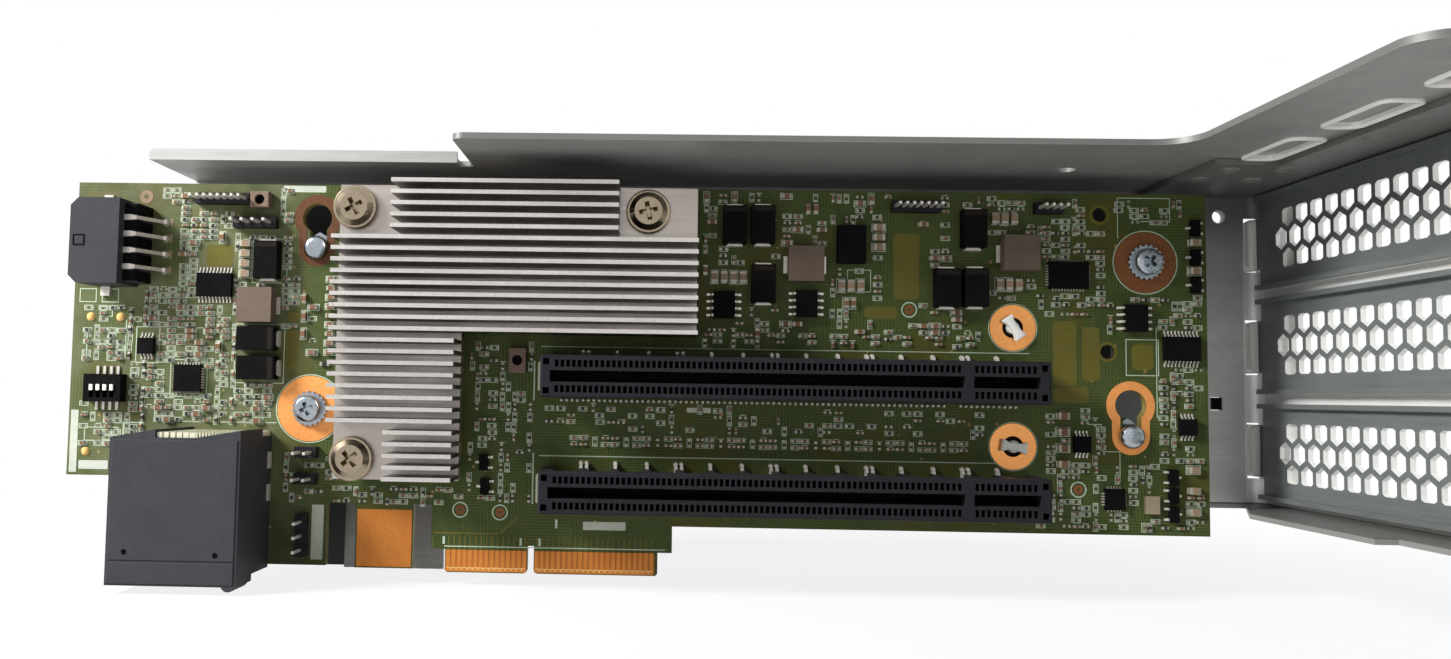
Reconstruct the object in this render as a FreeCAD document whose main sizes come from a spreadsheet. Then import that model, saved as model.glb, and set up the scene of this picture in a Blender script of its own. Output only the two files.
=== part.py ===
"""Server riser card in its steel cage, as a parametric document.

Frame: +X runs along the board to the slot covers, +Z is up as installed and
-Y is the component side. The origin is the edge connector: the middle of its
key notch, on the lower edge of the tongue, in the board's mid-plane.
Lengths are millimetres.
"""
import os
import re

import FreeCAD
import Part
import Sketcher

# Driving dimensions, each with the name that its cell carries

BOARD = {
    "board_thickness": 1.6,
    "board_left": -86.6,
    "board_right": 122.9,
    "board_top": 71.2,
    "board_bottom": 9.0,
    "left_foot_bottom": 16.5,
    "connector_foot_left": -73.0,
    "connector_foot_right": -37.7,
    "connector_foot_bottom": 0.8,
    "notch_top": 12.2,
    "power_finger_left": -32.3,
    "power_finger_width": 10.6,
    "power_finger_bottom": 0.5,
    "power_pad_margin": 0.25,
    "power_pad_height": 10.4,
    "shoulder_left": -18.3,
    "shoulder_height": 4.2,
    "tongue_left": -15.7,
    "tongue_right": 23.2,
    "tongue_step_right": 25.8,
    "key_width": 1.2,
    "key_depth": 5.0,
    "key_flare": 0.6,
    "tongue_corner": 0.4,
    "finger_pitch": 1.0,
    "finger_width": 0.7,
    "finger_length": 3.95,
    "finger_edge_gap": 0.15,
    "foil_thickness": 0.06,
    "left_finger_count": 15,
    "right_finger_count": 22,
}

FIXINGS = {
    "plate_gap": 17.7,
    "standoff_radius": 3.2,
    "standoff_bore_depth": 8.0,
    "screw_shank_radius": 1.5,
    "screw_shank_length": 7.0,
    "screw_head_radius": 2.6,
    "screw_head_height": 1.9,
    "screw_clearance": 0.15,
    "washer_radius": 3.2,
    "washer_thickness": 0.6,
    "recess_length": 3.0,
    "recess_width": 0.8,
    "recess_depth": 0.9,
    "stud_neck_radius": 1.6,
    "stud_head_radius": 2.2,
    "stud_head_height": 1.5,
    "stud_head_gap": 0.2,
    "keyhole_radius": 2.7,
    "keyhole_drop": 5.6,
    "keyhole_slot_clearance": 0.2,
    "post_radius": 2.9,
    "post_tip_radius": 1.7,
    "post_tip_height": 1.8,
    "post_slit": 0.7,
    "post_clearance": 0.2,
    "tooling_hole_radius": 1.65,
}

CAGE = {
    "sheet_thickness": 1.0,
    "bend_radius": 1.4,
    "plate_left": -72.4,
    "plate_right": 138.9,
    "plate_bottom": 12.8,
    "plate_foot_left": -39.5,
    "plate_foot_right": -19.6,
    "plate_foot_bottom": -2.4,
    "flange_gap": 4.0,
    "flange_left_depth": 3.4,
    "flange_lip_height": 2.1,
    "flange_lip_round": 0.9,
    "flange_step": -12.3,
    "flange_relief": 2.6,
    "flange_mid_depth": 24.0,
    "flange_arm_left": 109.7,
    "flange_front": -81.8,
    "flange_corner_radius": 5.0,
    "flange_step_radius": 2.0,
    "flange_inner_radius": 6.5,
    "flange_hole_radius": 2.0,
    "emboss_left": 122.8,
    "emboss_width": 5.1,
    "emboss_length": 15.1,
    "emboss_first": -15.1,
    "emboss_step": 23.6,
    "emboss_count": 3,
    "emboss_depth": 0.6,
    "emboss_wall": 0.4,
    "emboss_corner": 1.2,
    "film_thickness": 0.25,
    "film_margin": 3.0,
    "film_right": 112.8,
    "film_foot_left": -43.5,
    "film_foot_bottom": -1.9,
}

WALL = {
    "wall_face": 141.7,
    "wall_front": -90.0,
    "wall_lap_wide_left": 118.5,
    "wall_lap_wide_front": -14.3,
    "wall_lap_left": 129.5,
    "wall_lap_gap": 0.1,
    "wall_bottom_drop": 2.1,
    "wall_rear_left": 127.0,
    "wall_foot_left": 128.7,
    "wall_foot_rear": -3.3,
    "wall_foot_step": -39.2,
    "wall_foot_front_left": 132.2,
    "wall_bend": 2.2,
    "wall_slit_left": 138.9,
    "wall_ledge_width": 11.4,
    "wall_window_half_height": 6.4,
    "wall_window_rear": 4.6,
    "wall_window_front": -79.5,
    "wall_window_notch": 4.4,
    "wall_window_notch_half": 2.1,
    "locating_hole_radius": 1.3,
}

COVER = {
    "slot_pitch": 20.32,
    "slot_to_cover": 8.2,
    "cover_count": 3,
    "cover_width": 18.42,
    "cover_thickness": 0.9,
    "cover_lip": 1.2,
    "cover_lip_front_gap": 3.0,
    "cover_end": 15.0,
    "cover_tongue_width": 10.19,
    "cover_tongue_length": 6.4,
    "cover_tongue_clearance": 0.35,
    "cover_notch_radius": 1.9,
    "cover_window_half_height": 5.55,
    "hex_radius": 2.15,
    "hex_pitch": 4.73,
    "hex_row_pitch": 4.1,
    "hex_first": 7.2,
    "hex_columns": 18,
    "cover_screw_radius": 1.7,
    "cover_screw_head_radius": 3.4,
    "cover_screw_head_height": 2.4,
}

HEAT_SINK = {
    "sink_left": -35.4,
    "sink_right": 29.6,
    "sink_top": 70.3,
    "sink_inner": 43.5,
    "sink_leg_right": -12.7,
    "sink_bottom": 17.0,
    "sink_gap": 2.6,
    "sink_base": 3.0,
    "fin_height": 7.9,
    "fin_thickness": 0.72,
    "fin_pitch": 2.01,
    "fin_left_inset": 0.7,
    "upper_fin_left": -24.4,
    "upper_fin_right": 15.6,
    "upper_fin_count": 5,
    "long_fin_count": 9,
    "leg_fin_count": 8,
    "lower_fin_left": -24.7,
    "lower_fin_count": 5,
    "sink_post_radius": 3.0,
    "sink_screw_radius": 1.5,
    "sink_head_radius": 4.0,
    "sink_head_height": 2.1,
    "sink_recess_length": 4.2,
    "sink_recess_width": 1.0,
    "sink_recess_depth": 1.2,
    "chip_size": 25.0,
    "chip_height": 1.8,
    "pad_size": 21.0,
}

CONNECTORS = {
    "slot_left": 2.2,
    "slot_length": 88.7,
    "slot_width": 7.5,
    "slot_height": 11.25,
    "slot_mouth_width": 2.0,
    "slot_mouth_left": 3.9,
    "slot_mouth_right": 89.1,
    "slot_key_left": 76.1,
    "slot_key_width": 1.5,
    "slot_mouth_depth": 8.5,
    "slot_end_hole": 1.1,
    "slot_end_inset": 0.6,
    "link_left": -71.0,
    "link_right": -48.4,
    "link_bottom": -0.9,
    "link_top": 24.3,
    "link_height": 16.0,
    "link_end_block": 7.8,
    "link_wafer_count": 6,
    "link_wafer_gap": 0.35,
    "link_nose": 7.6,
    "link_step": 1.2,
    "link_wafer_rise": 0.9,
    "link_lug_rise": 1.4,
    "link_rib_radius": 1.3,
    "link_rib_drop": 0.8,
    "link_rib_length": 6.0,
    "link_back_strip": 5.0,
    "link_shield_thickness": 0.3,
    "link_shield_width": 1.4,
    "link_shield_lift": 0.6,
    "link_shield_length": 3.0,
    "link_shield_drop": 5.9,
    "power_left": -83.6,
    "power_length": 8.9,
    "power_low": 51.5,
    "power_high": 67.0,
    "power_height": 8.6,
    "power_wall": 1.3,
    "power_mouth_depth": 6.5,
    "power_corner": 1.4,
    "power_block_length": 2.3,
    "power_block_inset": 0.6,
    "power_pin_pitch": 3.0,
    "power_pin_count": 4,
    "power_pin_size": 0.8,
    "power_pin_lift": 4.2,
    "power_pin_end": -69.2,
    "power_pin_inset": 1.6,
    "power_ear": 1.7,
    "power_ear_middle": -80.5,
    "power_ear_height": 0.8,
    "header_pitch": 2.0,
    "fine_pitch": 1.27,
    "coarse_pitch": 2.54,
    "header_base": 2.0,
    "header_pin_size": 0.5,
    "header_pin_height": 4.0,
}

DIP = {
    "dip_width": 6.9,
    "dip_depth": 5.1,
    "dip_height": 2.5,
    "dip_pitch": 1.27,
    "dip_count": 4,
    "dip_well_width": 0.8,
    "dip_well_length": 2.5,
    "dip_well_drop": 0.5,
    "dip_well_depth": 1.2,
    "dip_slider_clearance": 0.1,
    "dip_slider_length": 1.1,
    "dip_slider_rise": 0.35,
    "dip_pin_width": 0.5,
    "dip_pin_length": 1.5,
    "dip_pin_thickness": 0.3,
}

PACKAGES = {
    "inductor_size": 6.4,
    "inductor_height": 3.0,
    "inductor_foot": 1.2,
    "inductor_foot_width": 3.2,
    "inductor_foot_reach": 0.7,
    "tantalum_width": 4.3,
    "tantalum_length": 7.3,
    "tantalum_height": 2.9,
    "tantalum_foot_width": 2.4,
    "tantalum_foot_height": 1.2,
    "foot_thickness": 0.2,
    "soic_length": 3.9,
    "soic_width": 4.9,
    "soic_height": 1.6,
    "small_length": 3.0,
    "small_width": 3.0,
    "small_height": 1.1,
    "tssop_length": 6.5,
    "tssop_width": 4.4,
    "tssop_height": 1.1,
    "sot_length": 1.6,
    "sot_width": 2.9,
    "sot_height": 1.1,
    "quad_length": 5.0,
    "quad_width": 5.0,
    "quad_height": 0.9,
    "wide_quad_length": 7.2,
    "wide_quad_width": 5.0,
    "fine_quad_length": 3.6,
    "fine_quad_width": 3.8,
    "driver_length": 5.1,
    "driver_width": 6.9,
    "driver_height": 2.2,
    "crystal_length": 2.5,
    "crystal_width": 3.2,
    "crystal_height": 0.8,
}

# Places on the component side, as X and Z of the middle

PLACES = {
    "keyhole_1": (-41.2, 64.9),
    "keyhole_2": (108.9, 32.4),
    "board_screw_1": (-41.5, 29.4),
    "board_screw_2": (111.8, 58.6),
    "post_1": (87.65, 46.25),
    "post_2": (87.6, 24.6),
    "tooling_1": (103.6, 67.3),
    "tooling_2": (104.8, 42.1),
    "sink_screw_1": (-32.5, 66.1),
    "sink_screw_2": (20.7, 65.9),
    "sink_screw_3": (-31.9, 20.7),
    "chip": (-4.0, 57.0),
    "slot_1": (46.55, 36.0),
    "dip": (-79.5, 32.65),
    "inductor_1": (-51.6, 48.4),
    "inductor_2": (49.6, 57.3),
    "inductor_3": (88.6, 59.8),
    "tantalum_1": (-49.9, 56.8),
    "tantalum_2": (-51.3, 42.2),
    "tantalum_3": (-51.1, 36.8),
    "tantalum_4": (36.6, 64.4),
    "tantalum_5": (41.75, 64.5),
    "tantalum_6": (41.9, 53.6),
    "tantalum_7": (80.2, 64.2),
    "tantalum_8": (75.3, 53.3),
    "tantalum_9": (80.5, 53.4),
    "soic_1": (34.8, 49.7),
    "soic_2": (49.9, 50.1),
    "soic_3": (109.7, 48.3),
    "tssop_1": (118.0, 42.8),
    "tssop_2": (-60.0, 52.1),
    "small_1": (118.9, 28.6),
    "small_2": (99.9, 25.2),
    "small_3": (-72.4, 40.55),
    "quad_1": (-64.4, 34.7),
    "quad_2": (97.7, 56.0),
    "quad_3": (105.7, 15.4),
    "driver": (58.0, 61.1),
    "crystal": (112.4, 14.5),
    "sot_1": (120.7, 65.0),
    "sot_2": (120.7, 59.6),
    "sot_3": (120.7, 54.5),
    "sot_4": (116.2, 19.5),
    "sot_5": (116.2, 16.2),
    "sot_6": (116.2, 12.9),
    "sot_7": (-8.9, 20.1),
    "sot_8": (-8.6, 15.7),
    "header_1": (-58.7, 68.2),
    "header_2": (-52.5, 63.8),
    "header_3": (69.8, 68.2),
    "header_4": (94.0, 68.2),
    "header_5": (-42.0, 6.3),
    "header_6": (-41.6, 21.4),
    "header_7": (-41.6, 16.6),
    "flange_hole": (96.6, -2.7),
    "locating_hole_1": (134.1, 70.2),
    "locating_hole_2": (133.2, 33.0),
}

# Pins, pitch and direction of each header
HEADERS = {
    "header_1": (8, "fine_pitch", "x"),
    "header_2": (4, "header_pitch", "x"),
    "header_3": (7, "fine_pitch", "x"),
    "header_4": (4, "fine_pitch", "x"),
    "header_5": (3, "coarse_pitch", "z"),
    "header_6": (2, "header_pitch", "x"),
    "header_7": (2, "header_pitch", "x"),
}
LYING_TANTALUMS = ("tantalum_2", "tantalum_3")

# Faces that several pieces share

FRONT = "board_thickness / 2"
PLATE_FACE = "(board_thickness / 2 + plate_gap)"
FLANGE_FACE = "(board_top + flange_gap)"
COVER_FACE = "(wall_face - cover_thickness)"
SINK_FLOOR = "(board_thickness / 2 + sink_gap)"
SINK_TOP_FACE = "(board_thickness / 2 + sink_gap + sink_base)"
WALL_BOTTOM = "(slot_1_z + slot_to_cover - slot_pitch - cover_width / 2 - wall_bottom_drop)"

doc = FreeCAD.newDocument("RiserCard")
sheet = doc.addObject("Spreadsheet::Sheet", "Dimensions")
aliases = set()
nodes = []


def fill_sheet():
    """Write every driving dimension into its own cell."""
    cells = {}
    for section in (BOARD, FIXINGS, CAGE, WALL, COVER, HEAT_SINK, CONNECTORS, DIP, PACKAGES):
        cells.update(section)
    for name, (first, second) in PLACES.items():
        cells[name + "_x"] = first
        cells[name + "_z"] = second
    for row, (name, number) in enumerate(cells.items(), start=1):
        sheet.set("A%d" % row, name)
        sheet.set("B%d" % row, str(number))
        sheet.setAlias("B%d" % row, name)
        aliases.add(name)
    doc.recompute()


def bound(text):
    """Expression text with each dimension's name tied to its cell."""
    return re.sub(r"[a-z_][a-z_0-9]*", lambda m: named(m.group(0)), str(text))


def named(word):
    return "Dimensions." + word if word in aliases else word


def value(text):
    return float(sheet.evalExpression(bound(text)))


def tie(item, **expressions):
    for name, text in expressions.items():
        item.setExpression(name.replace("__", "."), bound(text))


def keep(item, label):
    """Name a finished sub-part and list it for export."""
    item.Label = label
    nodes.append(item)
    return item


# Bodies, sketches and features

def new_body(label):
    return keep(doc.addObject("PartDesign::Body", label), label)


def rectangle(left, right, low, high):
    return [(left, low), (right, low), (right, high), (left, high)]


def new_sketch(body, name, role, lift):
    sketch = body.newObject("Sketcher::SketchObject", body.Name + "_" + name)
    plane = next(f for f in body.Origin.OriginFeatures if f.Role == role)
    sketch.AttachmentSupport = [(plane, "")]
    sketch.MapMode = "FlatFace"
    tie(sketch, AttachmentOffset__Base__z=lift)
    return sketch


def pin_point(sketch, geometry, position, point, origin):
    """Hold one sketch point at expressions for its two coordinates."""
    for kind, text, number in zip(("DistanceX", "DistanceY"), point, origin):
        index = sketch.addConstraint(Sketcher.Constraint(kind, -1, 1, geometry, position, number))
        sketch.setExpression("Constraints[%d]" % index, bound(text))


def outline(body, name, role, loops, lift):
    """A sketch of closed straight-sided loops, with each corner tied to the sheet."""
    sketch = new_sketch(body, name, role, lift)
    for loop in loops:
        spots = [(value(x), value(y)) for x, y in loop]
        first = sketch.GeometryCount
        for here, there in zip(spots, spots[1:] + spots[:1]):
            sketch.addGeometry(Part.LineSegment(FreeCAD.Vector(*here), FreeCAD.Vector(*there)))
        for step in range(len(loop)):
            following = first + (step + 1) % len(loop)
            sketch.addConstraint(Sketcher.Constraint("Coincident", first + step, 2, following, 1))
        for step, (corner, spot) in enumerate(zip(loop, spots)):
            pin_point(sketch, first + step, 1, corner, spot)
    return sketch


def rounds(body, name, role, circles, lift):
    """A sketch of circles given as X, Y and radius expressions."""
    sketch = new_sketch(body, name, role, lift)
    for across, up, radius in circles:
        spot = (value(across), value(up))
        circle = Part.Circle(FreeCAD.Vector(*spot), FreeCAD.Vector(0, 0, 1), value(radius))
        index = sketch.addGeometry(circle)
        pin_point(sketch, index, 3, (across, up), spot)
        size = sketch.addConstraint(Sketcher.Constraint("Radius", index, value(radius)))
        sketch.setExpression("Constraints[%d]" % size, bound(radius))
    return sketch


def pad(body, sketch, length):
    feature = body.newObject("PartDesign::Pad", sketch.Name + "_pad")
    feature.Profile = sketch
    tie(feature, Length=length)
    doc.recompute()
    return feature


def pocket(body, sketch, depth=None):
    """Cut a sketch into the body: to a depth behind it, or right through."""
    before = body.Shape.Volume
    feature = body.newObject("PartDesign::Pocket", sketch.Name + "_pocket")
    feature.Profile = sketch
    if depth is None:
        feature.Type = "ThroughAll"
        feature.Midplane = True
    else:
        tie(feature, Length=depth)
    doc.recompute()
    if body.Shape.Volume >= before:
        raise RuntimeError(sketch.Name + " cuts nothing")
    return feature


def pattern(body, feature, sketch, axis, step, count, reverse=False):
    repeat = body.newObject("PartDesign::LinearPattern", feature.Name + "_row")
    repeat.Originals = [feature]
    repeat.Direction = (sketch, [axis])
    repeat.Reversed = reverse
    tie(repeat, Length="%s * (%s - 1)" % (step, count), Occurrences=count)
    body.Tip = repeat
    doc.recompute()
    return repeat


def edges_at(shape, direction, spots):
    """Names of the straight edges along a direction that pass through given places."""
    found = []
    for index, edge in enumerate(shape.Edges, start=1):
        if len(edge.Vertexes) != 2:
            continue
        run = edge.Vertexes[1].Point - edge.Vertexes[0].Point
        if run.Length < 1e-6 or abs(abs(run.normalize().dot(direction)) - 1) > 1e-6:
            continue
        if any(edge.distToShape(Part.Vertex(spot))[0] < 1e-4 for spot in spots):
            found.append("Edge%d" % index)
    return found


def soften(body, direction, spots, radius, kind="PartDesign::Fillet"):
    """Round or bevel the edges along a direction that pass through given places."""
    base = body.Tip
    feature = body.newObject(kind, "%s_soft_%d" % (body.Name, len(body.Group)))
    feature.Base = (base, edges_at(base.Shape, direction, spots))
    if kind == "PartDesign::Fillet":
        tie(feature, Radius=radius)
    else:
        tie(feature, Size=radius)
    doc.recompute()
    return feature


# Primitives and their booleans

def block(name, left, right, front, back, low, high):
    """A block between expressions for its faces on X, Y and Z."""
    item = doc.addObject("Part::Box", name)
    tie(item, Length="(%s) - (%s)" % (right, left), Width="(%s) - (%s)" % (back, front))
    tie(item, Height="(%s) - (%s)" % (high, low), Placement__Base__x=left)
    tie(item, Placement__Base__y=front, Placement__Base__z=low)
    return item


TO_FRONT = FreeCAD.Rotation(FreeCAD.Vector(1, 0, 0), 90)
TO_RIGHT = FreeCAD.Rotation(FreeCAD.Vector(0, 1, 0), 90)


def rod(name, across, depth, up, radius, length):
    """A cylinder that starts at a place and runs to the front."""
    item = doc.addObject("Part::Cylinder", name)
    item.Placement = FreeCAD.Placement(FreeCAD.Vector(), TO_FRONT)
    tie(item, Radius=radius, Height=length, Placement__Base__x=across)
    tie(item, Placement__Base__y=depth, Placement__Base__z=up)
    return item


def hexagon_bar(name, across, depth, up, radius, length):
    """A six-sided bar that starts at a place and runs to the front."""
    item = doc.addObject("Part::Prism", name)
    item.Polygon = 6
    item.Placement = FreeCAD.Placement(FreeCAD.Vector(), TO_FRONT)
    tie(item, Circumradius=radius, Height=length, Placement__Base__x=across)
    tie(item, Placement__Base__y=depth, Placement__Base__z=up)
    return item


def fuse(name, items):
    item = doc.addObject("Part::MultiFuse", name)
    item.Shapes = items
    return item


def subtract(name, base, tool):
    item = doc.addObject("Part::Cut", name)
    item.Base = base
    item.Tool = tool
    return item


def compound(name, items):
    item = doc.addObject("Part::Compound", name)
    item.Links = items
    return item


def group(label, items):
    """Like pieces that share one node, each still its own solid."""
    return keep(compound(label, items), label)


def on_board(name, across, up, width, tall, height, lift="0"):
    """A block on the component side, centred on a place."""
    return block(
        name,
        "%s - (%s) / 2" % (across, width), "%s + (%s) / 2" % (across, width),
        "-(%s) - (%s) - (%s)" % (FRONT, lift, height), "-(%s) - (%s)" % (FRONT, lift),
        "%s - (%s) / 2" % (up, tall), "%s + (%s) / 2" % (up, tall),
    )


def place(name):
    return name + "_x", name + "_z"


# The board

def make_board():
    body = new_body("circuit_board")
    power_right = "power_finger_left + power_finger_width"
    edge = [
        ("board_left", "board_top"),
        ("board_left", "left_foot_bottom"),
        ("connector_foot_left", "left_foot_bottom"),
        ("connector_foot_left", "connector_foot_bottom"),
        ("connector_foot_right", "connector_foot_bottom"),
        ("connector_foot_right", "notch_top"),
        ("power_finger_left", "notch_top"),
        ("power_finger_left", "power_finger_bottom"),
        (power_right, "power_finger_bottom"),
        (power_right, "notch_top"),
        ("shoulder_left", "notch_top"),
        ("shoulder_left", "shoulder_height"),
        ("tongue_left", "shoulder_height"),
        ("tongue_left", "0"),
        ("-key_width / 2", "0"),
        ("-key_width / 2", "key_depth"),
        ("key_width / 2", "key_depth"),
        ("key_width / 2", "0"),
        ("tongue_right", "0"),
        ("tongue_right", "shoulder_height"),
        ("tongue_step_right", "shoulder_height"),
        ("tongue_step_right", "board_bottom"),
        ("board_right", "board_bottom"),
        ("board_right", "board_top"),
    ]
    sketch = outline(body, "edge", "XZ_Plane", [edge], "-board_thickness / 2")
    pad(body, sketch, "board_thickness")
    screw_hole = "screw_shank_radius + screw_clearance"
    circles = [place("board_screw_%d" % n) + (screw_hole,) for n in (1, 2)]
    circles += [place("post_%d" % n) + ("post_tip_radius + post_clearance",) for n in (1, 2)]
    circles += [place("tooling_%d" % n) + ("tooling_hole_radius",) for n in (1, 2)]
    circles += [place("keyhole_%d" % n) + ("keyhole_radius",) for n in (1, 2)]
    pocket(body, rounds(body, "holes", "XZ_Plane", circles, FRONT))
    half = "stud_neck_radius + keyhole_slot_clearance"
    slots = []
    ends = []
    for n in (1, 2):
        across, up = place("keyhole_%d" % n)
        low = up + " - keyhole_drop"
        slots.append(rectangle("%s - %s" % (across, half), "%s + %s" % (across, half), low, up))
        ends.append((across, low, half))
    pocket(body, outline(body, "keyhole_slots", "XZ_Plane", slots, FRONT))
    pocket(body, rounds(body, "keyhole_ends", "XZ_Plane", ends, FRONT))
    through = FreeCAD.Vector(0, 1, 0)
    mouth = [FreeCAD.Vector(side * value("key_width / 2"), 0, 0) for side in (-1, 1)]
    soften(body, through, mouth, "key_flare", "PartDesign::Chamfer")
    corners = [FreeCAD.Vector(value(side), 0, 0) for side in ("tongue_left", "tongue_right")]
    soften(body, through, corners, "tongue_corner", "PartDesign::Chamfer")


def make_foil():
    """Gold contacts as foil on the board's faces."""
    fingers = []
    left_start = "-key_width / 2 - finger_pitch * (0.5 + %d)"
    right_start = "key_width / 2 + finger_pitch * (0.5 + %d)"
    places = [left_start % n for n in range(int(value("left_finger_count")))]
    places += [right_start % n for n in range(int(value("right_finger_count")))]
    low = "finger_edge_gap"
    high = "finger_edge_gap + finger_length"
    faces = {
        "front": ("-(%s) - foil_thickness" % FRONT, "-(%s)" % FRONT),
        "back": (FRONT, FRONT + " + foil_thickness"),
    }
    near, far = faces["front"]
    for n, middle in enumerate(places):
        left = "%s - finger_width / 2" % middle
        right = "%s + finger_width / 2" % middle
        fingers.append(block("finger_%d" % n, left, right, near, far, low, high))
    group("edge_contacts", fingers)
    pads = []
    for side, (near, far) in faces.items():
        pads.append(block(
            "power_pad_" + side,
            "power_finger_left + power_pad_margin",
            "power_finger_left + power_finger_width - power_pad_margin", near, far,
            "power_finger_bottom + power_pad_margin",
            "power_finger_bottom + power_pad_margin + power_pad_height",
        ))
    group("power_contacts", pads)


# What holds the board in the cage

def cross(name, across, depth, up, length, width, sink):
    """Cross recess cut into a screw head whose top is at a depth."""
    bars = []
    for part, (wide, tall) in (("a", (length, width)), ("b", (width, length))):
        bars.append(block(
            "%s_%s" % (name, part),
            "%s - %s / 2" % (across, wide), "%s + %s / 2" % (across, wide),
            depth, "%s + %s" % (depth, sink),
            "%s - %s / 2" % (up, tall), "%s + %s / 2" % (up, tall),
        ))
    return fuse(name, bars)


def make_board_screws():
    back = FRONT
    standoffs = []
    screws = []
    for n in (1, 2):
        across, up = place("board_screw_%d" % n)
        name = "board_screw_%d" % n
        post = hexagon_bar(name + "_post", across, PLATE_FACE, up, "standoff_radius", "plate_gap")
        bore = rod(name + "_bore", across, "%s + standoff_bore_depth" % back, up,
                   "screw_shank_radius + screw_clearance", "standoff_bore_depth")
        standoffs.append(subtract(name + "_standoff", post, bore))
        face = "-(%s)" % FRONT
        seat = face + " - washer_thickness"
        solid = fuse(name + "_solid", [
            rod(name + "_shank", across, "%s + screw_shank_length" % seat, up,
                "screw_shank_radius", "screw_shank_length"),
            rod(name + "_washer", across, face, up, "washer_radius", "washer_thickness"),
            rod(name + "_head", across, seat, up, "screw_head_radius", "screw_head_height"),
        ])
        top = seat + " - screw_head_height"
        drive = cross(name + "_drive", across, top, up, "recess_length", "recess_width",
                      "recess_depth")
        screws.append(subtract(name, solid, drive))
    group("board_standoffs", standoffs)
    group("board_screws", screws)


def make_studs():
    studs = []
    for n in (1, 2):
        name = "stud_%d" % n
        across, up = place("keyhole_%d" % n)
        low = up + " - keyhole_drop"
        neck = "board_thickness + stud_head_gap"
        head = "-(%s) - stud_head_gap" % FRONT
        studs.append(fuse(name, [
            hexagon_bar(name + "_post", across, PLATE_FACE, low, "standoff_radius", "plate_gap"),
            rod(name + "_neck", across, FRONT, low, "stud_neck_radius", neck),
            rod(name + "_head", across, head, low, "stud_head_radius", "stud_head_height"),
        ]))
    group("keyhole_studs", studs)


def make_posts():
    """Moulded spacers whose split tips snap through the board."""
    posts = []
    for n in (1, 2):
        name = "support_post_%d" % n
        across, up = place("post_%d" % n)
        solid = fuse(name + "_solid", [
            hexagon_bar(name + "_stem", across, PLATE_FACE, up, "post_radius", "plate_gap"),
            rod(name + "_tip", across, FRONT, up, "post_tip_radius",
                "board_thickness + post_tip_height"),
        ])
        slit = block(name + "_slit", "%s - post_radius" % across, "%s + post_radius" % across,
                     "-(%s) - post_tip_height" % FRONT, FRONT,
                     "%s - post_slit / 2" % up, "%s + post_slit / 2" % up)
        posts.append(subtract(name, solid, slit))
    group("support_posts", posts)


# The sheet-metal cage

def make_cage_plate():
    """Back plate and top flange, folded from one sheet."""
    body = new_body("cage_plate")
    plate_back = "-(%s) - sheet_thickness" % PLATE_FACE
    top = "%s + sheet_thickness" % FLANGE_FACE
    plate = [
        ("plate_left", top),
        ("plate_left", "plate_bottom"),
        ("plate_foot_left", "plate_bottom"),
        ("plate_foot_left", "plate_foot_bottom"),
        ("plate_foot_right", "plate_foot_bottom"),
        ("plate_foot_right", "plate_bottom"),
        ("plate_right", "plate_bottom"),
        ("plate_right", top),
    ]
    pad(body, outline(body, "plate", "XZ_Plane", [plate], plate_back), "sheet_thickness")
    rear = PLATE_FACE + " + sheet_thickness"
    relief = "flange_step - flange_relief"
    flange = [
        ("plate_left", rear),
        ("plate_left", "-flange_left_depth"),
        (relief, "-flange_left_depth"),
        (relief, "0"),
        ("flange_step", "0"),
        ("flange_step", "-flange_mid_depth"),
        ("flange_arm_left", "-flange_mid_depth"),
        ("flange_arm_left", "flange_front"),
        ("plate_right", "flange_front"),
        ("plate_right", rear),
    ]
    pad(body, outline(body, "flange", "XY_Plane", [flange], FLANGE_FACE), "sheet_thickness")
    lip = rectangle("plate_left", relief, "-flange_left_depth",
                    "-flange_left_depth + sheet_thickness")
    pad(body, outline(body, "lip", "XY_Plane", [lip], FLANGE_FACE), "flange_lip_height")
    soften_cage(body)
    lip_end = FreeCAD.Vector(value("plate_left"), value("-flange_left_depth + sheet_thickness / 2"),
                             value(FLANGE_FACE + " + flange_lip_height"))
    soften(body, FreeCAD.Vector(0, 1, 0), [lip_end], "flange_lip_round")
    emboss_flange(body, top)
    circles = [place("flange_hole") + ("flange_hole_radius",)]
    pocket(body, rounds(body, "flange_holes", "XY_Plane", circles, top), "sheet_thickness * 2")
    cut_locating_holes(body, "-(%s)" % PLATE_FACE)


def emboss_flange(body, top):
    """Shallow pads pressed up out of the flange's arm."""
    raised = []
    hollows = []
    corners = []
    for n in range(int(value("emboss_count"))):
        near = "emboss_first - emboss_step * %d" % n
        far = near + " - emboss_length"
        right = "emboss_left + emboss_width"
        raised.append(rectangle("emboss_left - emboss_wall", right + " + emboss_wall",
                                far + " - emboss_wall", near + " + emboss_wall"))
        hollows.append(rectangle("emboss_left", right, far, near))
        corners += [FreeCAD.Vector(value(across), value(depth), value(FLANGE_FACE))
                    for across in ("emboss_left", right) for depth in (near, far)]
    pad(body, outline(body, "raised", "XY_Plane", raised, top), "emboss_depth")
    floor = FLANGE_FACE + " + emboss_depth"
    pocket(body, outline(body, "hollows", "XY_Plane", hollows, floor), "emboss_depth")
    soften(body, FreeCAD.Vector(0, 0, 1), corners, "emboss_corner")


def cut_locating_holes(body, lift):
    """Round locating hole and its square partner, through one sheet."""
    eye = place("locating_hole_1") + ("locating_hole_radius",)
    pocket(body, rounds(body, "eye", "XZ_Plane", [eye], lift), "sheet_thickness")
    across, up = place("locating_hole_2")
    half = "locating_hole_radius"
    square = rectangle("%s - %s" % (across, half), "%s + %s" % (across, half),
                       "%s - %s" % (up, half), "%s + %s" % (up, half))
    pocket(body, outline(body, "square", "XZ_Plane", [square], lift), "sheet_thickness")


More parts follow.
